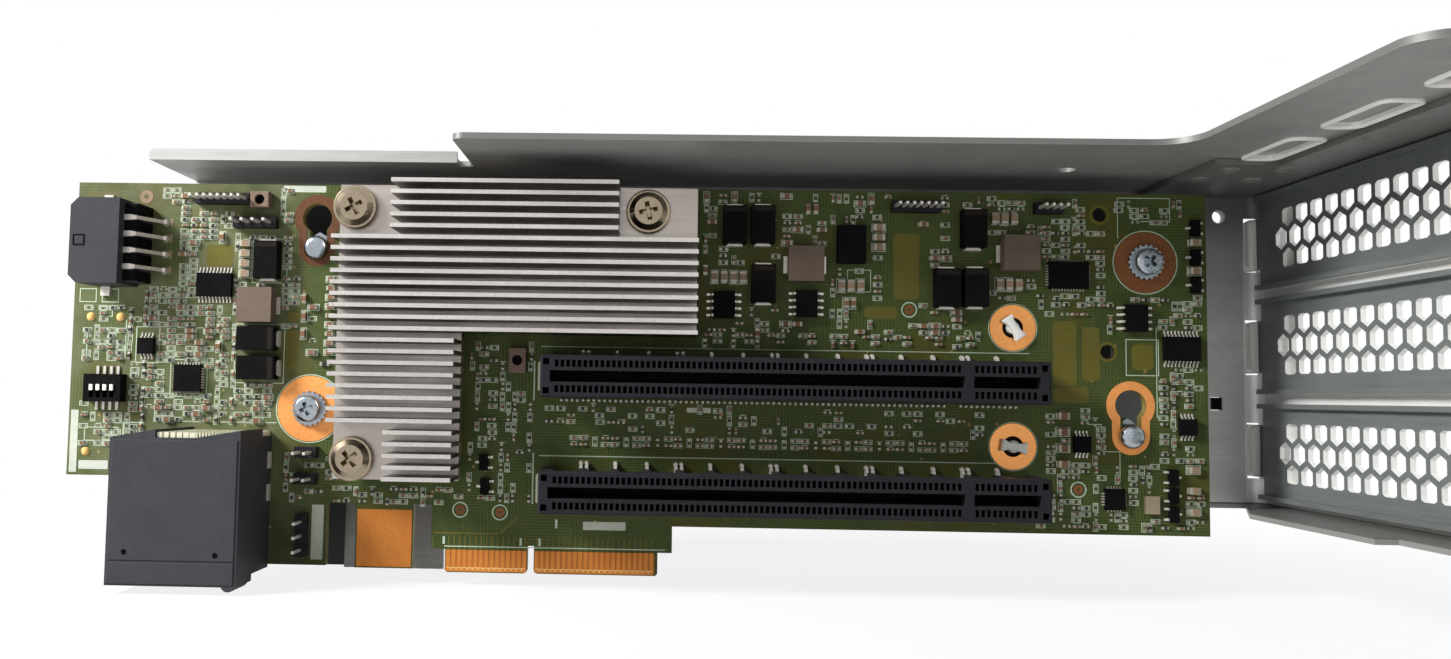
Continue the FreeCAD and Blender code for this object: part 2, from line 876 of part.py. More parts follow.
def soften_cage(body):
    """Rounded corners of the flange and the fold along the plate's top edge."""
    level = value(FLANGE_FACE)
    upright = FreeCAD.Vector(0, 0, 1)
    along = FreeCAD.Vector(1, 0, 0)
    inner = FreeCAD.Vector(value("flange_arm_left"), -value("flange_mid_depth"), level)
    soften(body, upright, [inner], "flange_inner_radius")
    outer = FreeCAD.Vector(value("flange_arm_left"), value("flange_front"), level)
    soften(body, upright, [outer], "flange_corner_radius")
    step = FreeCAD.Vector(value("flange_step"), -value("flange_mid_depth"), level)
    soften(body, upright, [step], "flange_step_radius")
    fold = FreeCAD.Vector(0, value(PLATE_FACE + " + sheet_thickness"),
                          level + value("sheet_thickness"))
    soften(body, along, [fold], "bend_radius")


def make_film():
    """Thin insulating film between the plate and the board's solder side."""
    body = new_body("insulating_film")
    left = "plate_left + film_margin"
    bottom = "plate_bottom + film_margin"
    top = "%s - film_margin" % FLANGE_FACE
    foot = [
        (left, top),
        (left, bottom),
        ("film_foot_left", bottom),
        ("film_foot_left", "film_foot_bottom"),
        ("plate_foot_left", "film_foot_bottom"),
        ("plate_foot_left", bottom),
        ("film_right", bottom),
        ("film_right", top),
    ]
    pad(body, outline(body, "sheet", "XZ_Plane", [foot], "-(%s)" % PLATE_FACE), "film_thickness")
    spots = [place("board_screw_%d" % n) for n in (1, 2)] + [place("post_%d" % n) for n in (1, 2)]
    for n in (1, 2):
        across, up = place("keyhole_%d" % n)
        spots.append((across, up + " - keyhole_drop"))
    half = "(standoff_radius + screw_clearance)"
    openings = [rectangle("%s - %s" % (across, half), "%s + %s" % (across, half),
                          "%s - %s" % (up, half), "%s + %s" % (up, half)) for across, up in spots]
    pocket(body, outline(body, "openings", "XZ_Plane", openings, "-(%s) + film_thickness" % PLATE_FACE))


def cover_middle(n):
    """Height of a cover's centre line; the first cover is the top one."""
    return "(slot_1_z + slot_to_cover + slot_pitch * %d)" % (1 - n)


def make_slot_wall():
    """Side wall with three card openings, folded on all four edges."""
    body = new_body("slot_wall")
    outer = "wall_face + sheet_thickness"
    top = "%s - wall_lap_gap" % FLANGE_FACE
    under = top + " - sheet_thickness"
    rear = PLATE_FACE
    wall = rectangle("wall_front", rear, WALL_BOTTOM, top)
    pad(body, outline(body, "wall", "YZ_Plane", [wall], "wall_face"), "sheet_thickness")
    lap = [
        (outer, rear),
        ("wall_lap_wide_left", rear),
        ("wall_lap_wide_left", "wall_lap_wide_front"),
        ("wall_lap_left", "wall_lap_wide_front"),
        ("wall_lap_left", "flange_front"),
        (outer, "flange_front"),
    ]
    pad(body, outline(body, "lap", "XY_Plane", [lap], under), "sheet_thickness")
    foot = [
        (outer, "wall_front"),
        (outer, rear),
        ("wall_slit_left", rear),
        ("wall_foot_left", "wall_foot_rear"),
        ("wall_foot_left", "wall_foot_step"),
        ("wall_foot_front_left", "wall_foot_step"),
        ("wall_foot_front_left", "wall_front"),
    ]
    pad(body, outline(body, "foot", "XY_Plane", [foot], WALL_BOTTOM), "sheet_thickness")
    back = rectangle("wall_rear_left", outer, WALL_BOTTOM, top)
    pad(body, outline(body, "back", "XZ_Plane", [back], "-(%s)" % rear), "sheet_thickness")
    ledge = rectangle("wall_face", outer + " + wall_ledge_width", WALL_BOTTOM, top)
    pad(body, outline(body, "ledge", "XZ_Plane", [ledge], "-wall_front - sheet_thickness"),
        "sheet_thickness")
    corner = FreeCAD.Vector(value("wall_face"), value(rear + " - sheet_thickness"), value(cover_middle(1)))
    soften(body, FreeCAD.Vector(0, 0, 1), [corner], "wall_bend")
    windows = []
    slits = []
    half = "wall_window_half_height"
    tongue = "cover_tongue_width / 2 + cover_tongue_clearance"
    for n in range(int(value("cover_count"))):
        middle = cover_middle(n)
        rear_edge = "wall_window_rear"
        notch = "wall_window_rear + wall_window_notch"
        windows.append([
            ("wall_window_front", "%s - %s" % (middle, half)),
            (rear_edge, "%s - %s" % (middle, half)),
            (rear_edge, "%s - wall_window_notch_half" % middle),
            (notch, "%s - wall_window_notch_half" % middle),
            (notch, "%s + wall_window_notch_half" % middle),
            (rear_edge, "%s + wall_window_notch_half" % middle),
            (rear_edge, "%s + %s" % (middle, half)),
            ("wall_window_front", "%s + %s" % (middle, half)),
        ])
        slits.append(rectangle("wall_slit_left", "wall_face",
                               "%s - (%s)" % (middle, tongue), "%s + (%s)" % (middle, tongue)))
    pocket(body, outline(body, "windows", "YZ_Plane", windows, outer), "sheet_thickness")
    bend_face = "-(%s) + sheet_thickness + wall_bend" % rear
    pocket(body, outline(body, "slits", "XZ_Plane", slits, bend_face), "sheet_thickness + wall_bend")
    cut_locating_holes(body, "-(%s) + sheet_thickness" % rear)


def tab_hole_across():
    return "(wall_face + sheet_thickness + wall_ledge_width / 2)"


def make_cover(n):
    """Perforated blank: lipped strip, honeycomb, tongue and screwed tab."""
    label = "slot_cover_%d" % (n + 1)
    middle = cover_middle(n)
    low = "%s - cover_width / 2" % middle
    high = "%s + cover_width / 2" % middle
    inner = COVER_FACE + " - cover_lip"
    front = "wall_front - cover_thickness"
    lip_front = "wall_front + cover_lip_front_gap"
    half_tongue = "cover_tongue_width / 2"
    tab_right = "wall_face + sheet_thickness + wall_ledge_width"
    strip = fuse(label + "_strip", [
        block(label + "_plate", COVER_FACE, "wall_face", front, "cover_end", low, high),
        block(label + "_low_lip", inner, COVER_FACE, lip_front, "cover_end",
              low, low + " + cover_thickness"),
        block(label + "_high_lip", inner, COVER_FACE, lip_front, "cover_end",
              high + " - cover_thickness", high),
        block(label + "_tongue", COVER_FACE, "wall_face", "cover_end",
              "cover_end + cover_tongue_length",
              "%s - %s" % (middle, half_tongue), "%s + %s" % (middle, half_tongue)),
        block(label + "_tab", "wall_face", tab_right, front, "wall_front", low, high),
    ])
    cells = compound(label + "_cells", [
        hexagon(label, row, column, middle)
        for row in (-1, 0, 1)
        for column in range(int(value("hex_columns")))
    ])
    window = block(
        label + "_window", COVER_FACE, "wall_face",
        "hex_first - hex_pitch * hex_columns", "hex_first + hex_pitch",
        middle + " - cover_window_half_height", middle + " + cover_window_half_height",
    )
    honeycomb = doc.addObject("Part::Common", label + "_honeycomb")
    honeycomb.Base = cells
    honeycomb.Tool = window
    notch = fuse(label + "_notch", [
        rod(label + "_notch_end", tab_hole_across(), "wall_front", middle,
            "cover_notch_radius", "cover_thickness"),
        block(label + "_notch_way", tab_hole_across(), tab_right, front, "wall_front",
              middle + " - cover_notch_radius", middle + " + cover_notch_radius"),
    ])
    pierced = subtract(label + "_pierced", strip, honeycomb)
    keep(subtract(label, pierced, notch), label)


def hexagon(label, row, column, middle):
    """One honeycomb cell; the outer rows stand half a pitch from the middle one."""
    cell = doc.addObject("Part::Prism", "%s_cell_%d_%d" % (label, row + 1, column))
    cell.Polygon = 6
    cell.Placement = FreeCAD.Placement(FreeCAD.Vector(), TO_RIGHT)
    stagger = "+ 0.5" if row else ""
    tie(cell, Circumradius="hex_radius", Height="cover_thickness")
    tie(cell, Placement__Base__x=COVER_FACE)
    tie(cell, Placement__Base__y="hex_first - hex_pitch * (%d %s)" % (column, stagger))
    tie(cell, Placement__Base__z="%s + hex_row_pitch * %d" % (middle, row))
    return cell


def make_cover_screws():
    screws = []
    for n in range(int(value("cover_count"))):
        name = "cover_screw_%d" % (n + 1)
        across = tab_hole_across()
        seat = "(wall_front - cover_thickness)"
        screws.append(fuse(name, [
            rod(name + "_shank", across, "wall_front", cover_middle(n), "cover_screw_radius",
                "cover_thickness"),
            hexagon_bar(name + "_head", across, seat, cover_middle(n), "cover_screw_head_radius",
                        "cover_screw_head_height"),
        ]))
    group("cover_screws", screws)


# The heat sink and what lies under it

def make_heat_sink():
    body = new_body("heat_sink")
    base = [
        ("sink_left", "sink_top"),
        ("sink_left", "sink_bottom"),
        ("sink_leg_right", "sink_bottom"),
        ("sink_leg_right", "sink_inner"),
        ("sink_right", "sink_inner"),
        ("sink_right", "sink_top"),
    ]
    pad(body, outline(body, "base", "XZ_Plane", [base], SINK_FLOOR), "sink_base")
    upper = "upper_fin_count"
    leg = "(upper_fin_count + long_fin_count)"
    lower = "(upper_fin_count + long_fin_count + leg_fin_count)"
    rows = [
        ("upper", "upper_fin_left", "upper_fin_right", "0", "upper_fin_count"),
        ("long", "sink_left + fin_left_inset", "sink_right", upper, "long_fin_count"),
        ("leg", "sink_left + fin_left_inset", "sink_leg_right", leg, "leg_fin_count"),
        ("lower", "lower_fin_left", "sink_leg_right", lower, "lower_fin_count"),
    ]
    for name, left, right, first, count in rows:
        high = "sink_top - fin_pitch * %s" % first
        fin = rectangle(left, right, high + " - fin_thickness", high)
        sketch = outline(body, name, "XZ_Plane", [fin], SINK_TOP_FACE)
        blade = pad(body, sketch, "fin_height")
        pattern(body, blade, sketch, "V_Axis", "fin_pitch", count, reverse=True)
    hole = "sink_screw_radius + screw_clearance"
    circles = [place("sink_screw_%d" % n) + (hole,) for n in (1, 2, 3)]
    pocket(body, rounds(body, "holes", "XZ_Plane", circles, SINK_TOP_FACE), "sink_base")


def make_sink_fixings():
    posts = []
    screws = []
    for n in (1, 2, 3):
        name = "sink_screw_%d" % n
        across, up = place(name)
        post = hexagon_bar(name + "_post", across, "-(%s)" % FRONT, up, "sink_post_radius", "sink_gap")
        bore = rod(name + "_bore", across, "-(%s)" % FRONT, up,
                   "sink_screw_radius + screw_clearance", "sink_gap")
        posts.append(subtract(name + "_spacer", post, bore))
        seat = "-(%s)" % SINK_TOP_FACE
        reach = "sink_base + sink_gap - screw_clearance"
        head = rod(name + "_head", across, seat, up, "sink_head_radius", "sink_head_height")
        shank = rod(name + "_shank", across, "%s + %s" % (seat, reach), up, "sink_screw_radius",
                    reach)
        drive = cross(name + "_drive", across, seat + " - sink_head_height", up,
                      "sink_recess_length", "sink_recess_width", "sink_recess_depth")
        screws.append(subtract(name, fuse(name + "_solid", [shank, head]), drive))
    group("heat_sink_spacers", posts)
    group("heat_sink_screws", screws)
    across, up = place("chip")
    keep(on_board("switch_chip", across, up, "chip_size", "chip_size", "chip_height"),
         "switch_chip")
    keep(on_board("thermal_pad", across, up, "pad_size", "pad_size", "sink_gap - chip_height",
                  "chip_height"), "thermal_pad")


# Connectors

def make_card_slot(n):
    """Vertical card-edge socket: long and short mouth with the key rib between."""
    body = new_body(("upper", "lower")[n] + "_card_slot")
    middle = "(slot_1_z - slot_pitch * %d)" % n
    half = "slot_width / 2"
    right = "slot_left + slot_length"
    shell = rectangle("slot_left", right, "%s - %s" % (middle, half), "%s + %s" % (middle, half))
    pad(body, outline(body, "shell", "XZ_Plane", [shell], FRONT), "slot_height")
    mouth_low = "%s - slot_mouth_width / 2" % middle
    mouth_high = "%s + slot_mouth_width / 2" % middle
    mouths = [
        rectangle("slot_mouth_left", "slot_key_left", mouth_low, mouth_high),
        rectangle("slot_key_left + slot_key_width", "slot_mouth_right", mouth_low, mouth_high),
    ]
    face = FRONT + " + slot_height"
    pocket(body, outline(body, "mouth", "XZ_Plane", mouths, face), "slot_mouth_depth")
    corners = []
    for side in ("slot_left + slot_end_inset", right + " - slot_end_inset - slot_end_hole"):
        for edge in ("%s + %s - slot_end_inset - slot_end_hole" % (middle, half),
                     "%s - %s + slot_end_inset" % (middle, half)):
            corners.append(rectangle(side, side + " + slot_end_hole", edge,
                                     edge + " + slot_end_hole"))
    pocket(body, outline(body, "corners", "XZ_Plane", corners, face), "slot_end_hole * 2")


def make_link_connector():
    """Right-angle board-to-board connector with its wafers and shields."""
    body = new_body("link_connector_shell")
    near = "-(%s) - link_height" % FRONT
    board_side = "-(%s)" % FRONT
    ledge = near + " + link_nose"
    side = [
        (near, "link_bottom"),
        (ledge, "link_bottom"),
        (ledge, "link_bottom + link_step"),
        (board_side, "link_bottom + link_step"),
        (board_side, "link_top"),
        (near, "link_top"),
    ]
    length = "link_right - link_left"
    pad(body, outline(body, "side", "YZ_Plane", [side], "link_left"), length)
    wafer_left = "link_left + link_end_block"
    wafer_right = "link_right - link_end_block"
    crest = "link_top + link_lug_rise"
    left_lug = [("link_left", "link_top"), (wafer_left, "link_top"), (wafer_left, crest)]
    pad(body, outline(body, "left_lug", "XZ_Plane", [left_lug], FRONT), "link_height")
    right_lug = [(wafer_right, "link_top"), ("link_right", "link_top"), ("link_right", crest)]
    pad(body, outline(body, "right_lug", "XZ_Plane", [right_lug], FRONT + " + link_back_strip"),
        "link_height - link_back_strip")
    rib = ("link_right - link_rib_radius", "link_bottom + link_rib_radius - link_rib_drop",
           "link_rib_radius")
    nose = FRONT + " + link_height - link_rib_length"
    pad(body, rounds(body, "rib", "XZ_Plane", [rib], nose), "link_rib_length")
    wafers = []
    step = "((link_right - link_left - 2 * link_end_block) / link_wafer_count)"
    for n in range(int(value("link_wafer_count"))):
        left = "%s + %s * %d" % (wafer_left, step, n)
        wafers.append(block(
            "wafer_%d" % n, left + " + link_wafer_gap / 2",
            "%s + %s - link_wafer_gap / 2" % (left, step),
            near + " + link_wafer_gap", board_side, "link_top", "link_top + link_wafer_rise",
        ))
    wafers.append(block("wafer_strip", wafer_right + " + link_wafer_gap", "link_right - link_wafer_gap",
                        board_side + " - link_back_strip + link_wafer_gap", board_side,
                        "link_top", "link_top + link_wafer_rise"))
    group("link_connector_wafers", wafers)
    shields = []
    for n in (1, 2):
        low = "link_top - link_shield_drop * %d" % n
        back = board_side + " - link_shield_lift"
        shields.append(block(
            "shield_%d" % n, "link_right", "link_right + link_shield_thickness",
            back + " - link_shield_width", back, low, low + " + link_shield_length",
        ))
    group("link_connector_shields", shields)


def make_power_header():
    """Four-way right-angle power header that opens at the board's left edge."""
    body = new_body("power_header_shell")
    right = "power_left + power_length"
    shell = [
        ("power_left", "power_low + power_corner"),
        ("power_left + power_corner", "power_low"),
        (right, "power_low"),
        (right, "power_high"),
        ("power_left + power_corner", "power_high"),
        ("power_left", "power_high - power_corner"),
    ]
    pad(body, outline(body, "shell", "XZ_Plane", [shell], FRONT), "power_height")
    comb = rectangle(right, right + " + power_block_length", "power_low + power_block_inset",
                     "power_high - power_block_inset")
    pad(body, outline(body, "comb", "XZ_Plane", [comb], FRONT), "power_height - power_wall * 2")
    near = "-(%s) - power_height + power_wall" % FRONT
    far = "-(%s) - power_wall" % FRONT
    mouth = rectangle(near, far, "power_low + power_corner + power_wall / 2",
                      "power_high - power_corner - power_wall / 2")
    sketch = outline(body, "mouth", "YZ_Plane", [mouth], "power_left + power_mouth_depth")
    pocket(body, sketch, "power_mouth_depth")
    level = "-(%s) - power_pin_lift" % FRONT
    grooves = []
    pins = []
    for n in range(int(value("power_pin_count"))):
        up = "((power_low + power_high) / 2 + power_pin_pitch * (%d - (power_pin_count - 1) / 2))" % n
        low = up + " - power_pin_size / 2"
        high = up + " + power_pin_size / 2"
        near_face = level + " - power_pin_size"
        grooves.append(rectangle(near_face, level, low, high))
        pins.append(fuse("power_pin_%d" % n, [
            block("power_pin_%d_run" % n, "power_left + power_pin_inset", "power_pin_end",
                  near_face, level, low, high),
            block("power_pin_%d_leg" % n, "power_pin_end - power_pin_size", "power_pin_end",
                  level, "-(%s)" % FRONT, low, high),
        ]))
    reach = right + " + power_block_length"
    passage = outline(body, "passage", "YZ_Plane", grooves, reach)
    pocket(body, passage, "power_length - power_mouth_depth + power_block_length")
    group("power_header_pins", pins)
    ears = []
    for name, low in (("low", "power_low - power_ear"), ("high", "power_high")):
        ears.append(block("power_ear_" + name, "power_ear_middle - power_ear / 2",
                          "power_ear_middle + power_ear / 2", "-(%s) - power_ear_height" % FRONT,
                          "-(%s)" % FRONT, low, low + " + power_ear"))
    group("power_header_ears", ears)


def make_pin_headers():
    strips = []
    pins = []
    for name, (count, pitch, along) in HEADERS.items():
        across, up = place(name)
        run = "%s * %d" % (pitch, count)
        size = (run, "header_base") if along == "x" else ("header_base", run)
        strips.append(on_board(name + "_strip", across, up, *size, "header_base"))
        for n in range(count):
            shift = " + %s * (%s)" % (pitch, n - (count - 1) / 2)
            spot = (across + shift, up) if along == "x" else (across, up + shift)
            pins.append(on_board("%s_pin_%d" % (name, n), *spot, "header_pin_size", "header_pin_size",
                                 "header_pin_height", "header_base"))
    group("header_strips", strips)
    group("header_pins", pins)


# The switch block with its four sliders

def slider_across(n):
    return "(dip_x + dip_pitch * (%d - (dip_count - 1) / 2))" % n


def make_dip_switch():
    body = new_body("dip_switch_body")
    case = rectangle("dip_x - dip_width / 2", "dip_x + dip_width / 2", "dip_z - dip_depth / 2",
                     "dip_z + dip_depth / 2")
    pad(body, outline(body, "case", "XZ_Plane", [case], FRONT), "dip_height")
    wells = []
    pins = []
    for n in range(int(value("dip_count"))):
        across = slider_across(n)
        wells.append(rectangle(
            across + " - dip_well_width / 2", across + " + dip_well_width / 2",
            "dip_z - dip_well_drop - dip_well_length / 2",
            "dip_z - dip_well_drop + dip_well_length / 2",
        ))
        for side, sign in (("high", "+"), ("low", "-")):
            middle = "dip_z %s (dip_depth + dip_pin_length) / 2" % sign
            pins.append(on_board("dip_pin_%s_%d" % (side, n), across, middle, "dip_pin_width",
                                 "dip_pin_length", "dip_pin_thickness"))
    pocket(body, outline(body, "wells", "XZ_Plane", wells, FRONT + " + dip_height"),
           "dip_well_depth")
    group("dip_switch_pins", pins)
    floor = "dip_height - dip_well_depth + dip_slider_clearance"
    rise = "dip_well_depth - dip_slider_clearance + dip_slider_rise"
    rest = "dip_z - dip_well_drop + dip_well_length / 2 - dip_slider_clearance - dip_slider_length / 2"
    for n in range(int(value("dip_count"))):
        label = "dip_slider_%d" % (n + 1)
        keep(on_board(label, slider_across(n), rest, "dip_well_width - 2 * dip_slider_clearance",
                      "dip_slider_length", rise, floor), label)


# Packages on the board

def make_passives():
    cores = []
    feet = []
    for n in (1, 2, 3):
        name = "inductor_%d" % n
        across, up = place(name)
        cores.append(on_board(name + "_core", across, up, "inductor_size", "inductor_size",
                              "inductor_height", "foot_thickness"))
        for side in ("-", "+"):
            reach = "((inductor_size - inductor_foot) / 2 + inductor_foot_reach)"
            shift = "%s %s %s" % (across, side, reach)
            feet.append(on_board("%s_foot_%d" % (name, len(feet)), shift, up, "inductor_foot",
                                 "inductor_foot_width", "foot_thickness"))
    group("inductor_cores", cores)
    group("inductor_feet", feet)
    bodies = []
    caps = []
    for n in range(1, 10):
        name = "tantalum_%d" % n
        across, up = place(name)
        long_way = "tantalum_length - 2 * foot_thickness"
        size = (long_way, "tantalum_width") if name in LYING_TANTALUMS else ("tantalum_width", long_way)
        bodies.append(on_board(name, across, up, *size, "tantalum_height"))
        for sign in ("-", "+"):
            shift = " %s (tantalum_length - foot_thickness) / 2" % sign
            if name in LYING_TANTALUMS:
                foot = (across + shift, up, "foot_thickness", "tantalum_foot_width")
            else:
                foot = (across, up + shift, "tantalum_foot_width", "foot_thickness")
            caps.append(on_board("%s_foot_%d" % (name, len(caps)), *foot, "tantalum_foot_height"))
    group("tantalum_bodies", bodies)
    group("tantalum_feet", caps)


def make_packages():
    """Moulded packages by outline; the last ones stand alone."""
    families = {"soic": 3, "small": 3, "tssop": 2, "sot": 8}
    for kind, count in families.items():
        names = ["%s_%d" % (kind, n) for n in range(1, count + 1)]
        group(kind + "_packages", [
            on_board(name, *place(name), kind + "_length", kind + "_width", kind + "_height")
            for name in names
        ])
    group("quad_packages", [
        on_board("quad_%d" % n, *place("quad_%d" % n), kind + "_length", kind + "_width", "quad_height")
        for n, kind in enumerate(("quad", "wide_quad", "fine_quad"), start=1)
    ])
    keep(on_board("driver_package", *place("driver"), "driver_length", "driver_width", "driver_height"),
         "driver_package")
    keep(on_board("crystal_can", *place("crystal"), "crystal_length", "crystal_width",
                  "crystal_height"), "crystal_can")


def build():
    fill_sheet()
    make_board()
    make_foil()
    make_board_screws()
    make_studs()
    make_posts()
    make_cage_plate()
    make_film()
    make_slot_wall()
    for n in range(int(value("cover_count"))):
        make_cover(n)
    make_cover_screws()
    make_heat_sink()
    make_sink_fixings()
    for n in (0, 1):
        make_card_slot(n)
    make_link_connector()
    make_power_header()
    make_pin_headers()
    make_dip_switch()
    make_passives()
    make_packages()
    doc.recompute()


def check():
    """Stop if any object failed or any sub-part lacks a sound solid."""
    for item in doc.Objects:
        if "Invalid" in item.State or "Error" in item.State:
            raise RuntimeError(item.Name + " failed: " + str(item.State))
    for item in nodes:
        shape = item.Shape
        if shape.isNull() or not shape.isValid() or not shape.Solids:
            raise RuntimeError(item.Label + " has no sound solid")


def export():
    os.makedirs("parts", exist_ok=True)
    for item in nodes:
        item.Shape.exportStep("parts/%s.step" % item.Label)
    print("wrote %d sub-parts" % len(nodes))


build()
check()
export()
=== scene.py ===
"""Studio scene of a server riser card in its steel cage.

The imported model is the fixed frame. This script gives every node its finish, models
the fine parts that the solids leave out, and sets the light and the camera. Sizes are
in millimetres of the model's frame: X along the board, Z up, -Y the component side.
"""

import logging
import math
import random
from contextlib import contextmanager
from dataclasses import dataclass, field
from enum import Enum
from typing import Callable, Iterator, Sequence

import bpy
from mathutils import Matrix, Quaternion, Vector


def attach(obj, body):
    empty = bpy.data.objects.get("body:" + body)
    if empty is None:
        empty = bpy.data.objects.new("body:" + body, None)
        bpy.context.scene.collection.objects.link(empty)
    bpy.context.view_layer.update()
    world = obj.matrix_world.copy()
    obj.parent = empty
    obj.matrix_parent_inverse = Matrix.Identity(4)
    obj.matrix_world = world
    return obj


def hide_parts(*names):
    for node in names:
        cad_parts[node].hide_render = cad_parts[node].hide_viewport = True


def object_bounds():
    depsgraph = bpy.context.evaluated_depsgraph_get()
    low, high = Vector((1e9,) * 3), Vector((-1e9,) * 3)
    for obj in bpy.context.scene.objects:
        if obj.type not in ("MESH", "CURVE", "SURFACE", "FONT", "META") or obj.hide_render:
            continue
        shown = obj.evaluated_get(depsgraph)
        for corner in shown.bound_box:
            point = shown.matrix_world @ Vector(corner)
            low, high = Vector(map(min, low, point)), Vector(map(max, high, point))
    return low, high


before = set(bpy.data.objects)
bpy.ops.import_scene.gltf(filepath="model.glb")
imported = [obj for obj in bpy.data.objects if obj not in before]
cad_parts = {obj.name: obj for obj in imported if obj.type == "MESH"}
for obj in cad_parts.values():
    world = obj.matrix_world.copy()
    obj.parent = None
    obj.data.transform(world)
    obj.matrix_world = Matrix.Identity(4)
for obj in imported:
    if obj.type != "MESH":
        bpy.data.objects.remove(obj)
CAD_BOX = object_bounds()

MM = 0.001
CARD = "card"
BOARD_FACE = -0.8
COVER_X = (140.8, 141.7)
STRAIGHT = 0.9  # share of an axis from which a direction counts as along it
NEAR = 0.01  # mm within which an edge counts as on a plane
SKIN = 0.003  # mm that a thin layer's underside stays off the board's face
ON_BOARD = (0.0, BOARD_FACE, 0.0)
log = logging.getLogger("riser_card")

Colour = tuple[float, float, float]
Point = tuple[float, float, float]
Spot = tuple[float, float]
Pair = tuple[float, float]
Triple = tuple[float, float, float]
Edges = tuple[float, float, float, float]
Box = tuple[Point, Point]
Piece = bpy.types.Object
Socket = bpy.types.NodeSocket
Test = Callable[[Vector, Vector], bool]


class Side(Enum):
    """Side that a face looks to or a rod runs to."""

    FRONT = (0, -1, 0)
    BACK = (0, 1, 0)
    RIGHT = (1, 0, 0)
    LEFT = (-1, 0, 0)
    TOP = (0, 0, 1)
    FOOT = (0, 0, -1)


# Modelling steps


def only(*items: Piece) -> None:
    """Select the given objects alone, with the last one active.

    Args:
        items: Objects to select; none clears the selection.
    """
    bpy.ops.object.select_all(action="DESELECT")
    for item in items:
        item.select_set(True)
        bpy.context.view_layer.objects.active = item


def settle(name: str) -> Piece:
    """Name the object just added and move its place, turn and scale into its mesh.

    Args:
        name: Object name.

    Returns:
        The object.
    """
    item = bpy.context.active_object
    item.name = name
    bpy.ops.object.transform_apply(location=True, rotation=True, scale=True)
    return item


def add_block(name: str, low: Point, high: Point) -> Piece:
    """Add a block between two corners.

    Args:
        name: Object name.
        low: Lowest corner, in mm.
        high: Highest corner, in mm.

    Returns:
        The new object, with its place in its mesh.
    """
    only()
    middle = [(a + b) / 2 * MM for a, b in zip(low, high)]
    size = [(b - a) * MM for a, b in zip(low, high)]
    bpy.ops.mesh.primitive_cube_add(size=1.0, location=middle, scale=size)
    return settle(name)


def add_rod(name: str, start: Point, radius: float, length: float, sides: int,
            tip: float | None = None, way: Side = Side.FRONT) -> Piece:
    """Add a cylinder or a cone frustum that starts at a place.

    Args:
        name: Object name.
        start: Middle of its first end, in mm.
        radius: Radius of the first end, in mm.
        length: Length, in mm.
        sides: Number of sides.
        tip: Radius of the far end, where it differs.
        way: FRONT or TOP, where it runs to.

    Returns:
        The new object, with its place in its mesh.
    """
    only()
    turn = (math.pi / 2, 0, 0) if way is Side.FRONT else (0, 0, 0)
    middle = [(a + b * length / 2) * MM for a, b in zip(start, way.value)]
    bpy.ops.mesh.primitive_cone_add(
        vertices=sides, radius1=radius * MM, radius2=(radius if tip is None else tip) * MM,
        depth=length * MM, location=middle, rotation=turn,
    )
    return settle(name)


@contextmanager
def editing(item: Piece, kind: str, test: Test) -> Iterator[None]:
    """Open an object's mesh with chosen faces or edges selected.

    Args:
        item: Object to edit.
        kind: "FACE" or "EDGE".
        test: Takes the middle, in mm, and the normal or run of a face or edge.

    Yields:
        Nothing, while the mesh is open.
    """
    only(item)
    bpy.ops.object.mode_set(mode="EDIT")
    bpy.ops.mesh.select_mode(type=kind)
    bpy.ops.mesh.select_all(action="DESELECT")
    bpy.ops.object.mode_set(mode="OBJECT")
    mesh = item.data
    if kind == "FACE":
        for face in mesh.polygons:
            face.select = test(face.center / MM, face.normal)
    else:
        for edge in mesh.edges:
            first, second = (mesh.vertices[v].co for v in edge.vertices)
            edge.select = test((first + second) / 2 / MM, (second - first).normalized())
    bpy.ops.object.mode_set(mode="EDIT")
    yield
    bpy.ops.object.mode_set(mode="OBJECT")


def facing(side: Side) -> Test:
    """Test for the faces that look to a side."""
    return lambda middle, out: out.dot(Vector(side.value)) > STRAIGHT


def along(side: Side) -> Test:
    """Test for the faces that look, or the edges that run, to a side or away from it."""
    return lambda middle, way: abs(way.dot(Vector(side.value))) > STRAIGHT


def bevel(item: Piece, test: Test, size: float, segments: int = 1) -> None:
    """Bevel chosen edges.

    Args:
        item: Object to change.
        test: Chooses the edges.
        size: Size of the bevel, in mm.
        segments: Steps of the bevel.
    """
    with editing(item, "EDGE", test):
        bpy.ops.mesh.bevel(offset=size * MM, segments=segments, affect="EDGES")


def inset(item: Piece, side: Side, width: float, depth: float) -> None:
    """Inset the faces that look to a side.

    Args:
        item: Object to change.
        side: Side the faces look to.
        width: Width of the new border, in mm.
        depth: How far the middle rises, in mm; it sinks where this is negative.
    """
    with editing(item, "FACE", facing(side)):
        bpy.ops.mesh.inset(thickness=width * MM, depth=depth * MM)


def taper(item: Piece, test: Test, scale: Point, centre: Point = (0, 0, 0)) -> None:
    """Scale chosen faces about a place.

    Args:
        item: Object to change.
        test: Chooses the faces.
        scale: Scale along X, Y and Z.
        centre: Place that stays, in mm.
    """
    with editing(item, "FACE", test):
        bpy.ops.transform.resize(value=scale, center_override=[v * MM for v in centre])


def hollow(item: Piece, side: Side, width: float) -> None:
    """Open a flat block into a frame.

    Args:
        item: Object to change.
        side: Side it's opened through.
        width: Width of the frame, in mm.
    """
    with editing(item, "FACE", along(side)):
        bpy.ops.mesh.inset(thickness=width * MM, depth=0.0)
        bpy.ops.mesh.bridge_edge_loops()


def draw_out(across: float, depth: float) -> None:
    """Extrude the selected faces of the open mesh along X and Y, in mm."""
    bpy.ops.mesh.extrude_region_move(TRANSFORM_OT_translate={"value": (across * MM, depth * MM, 0)})


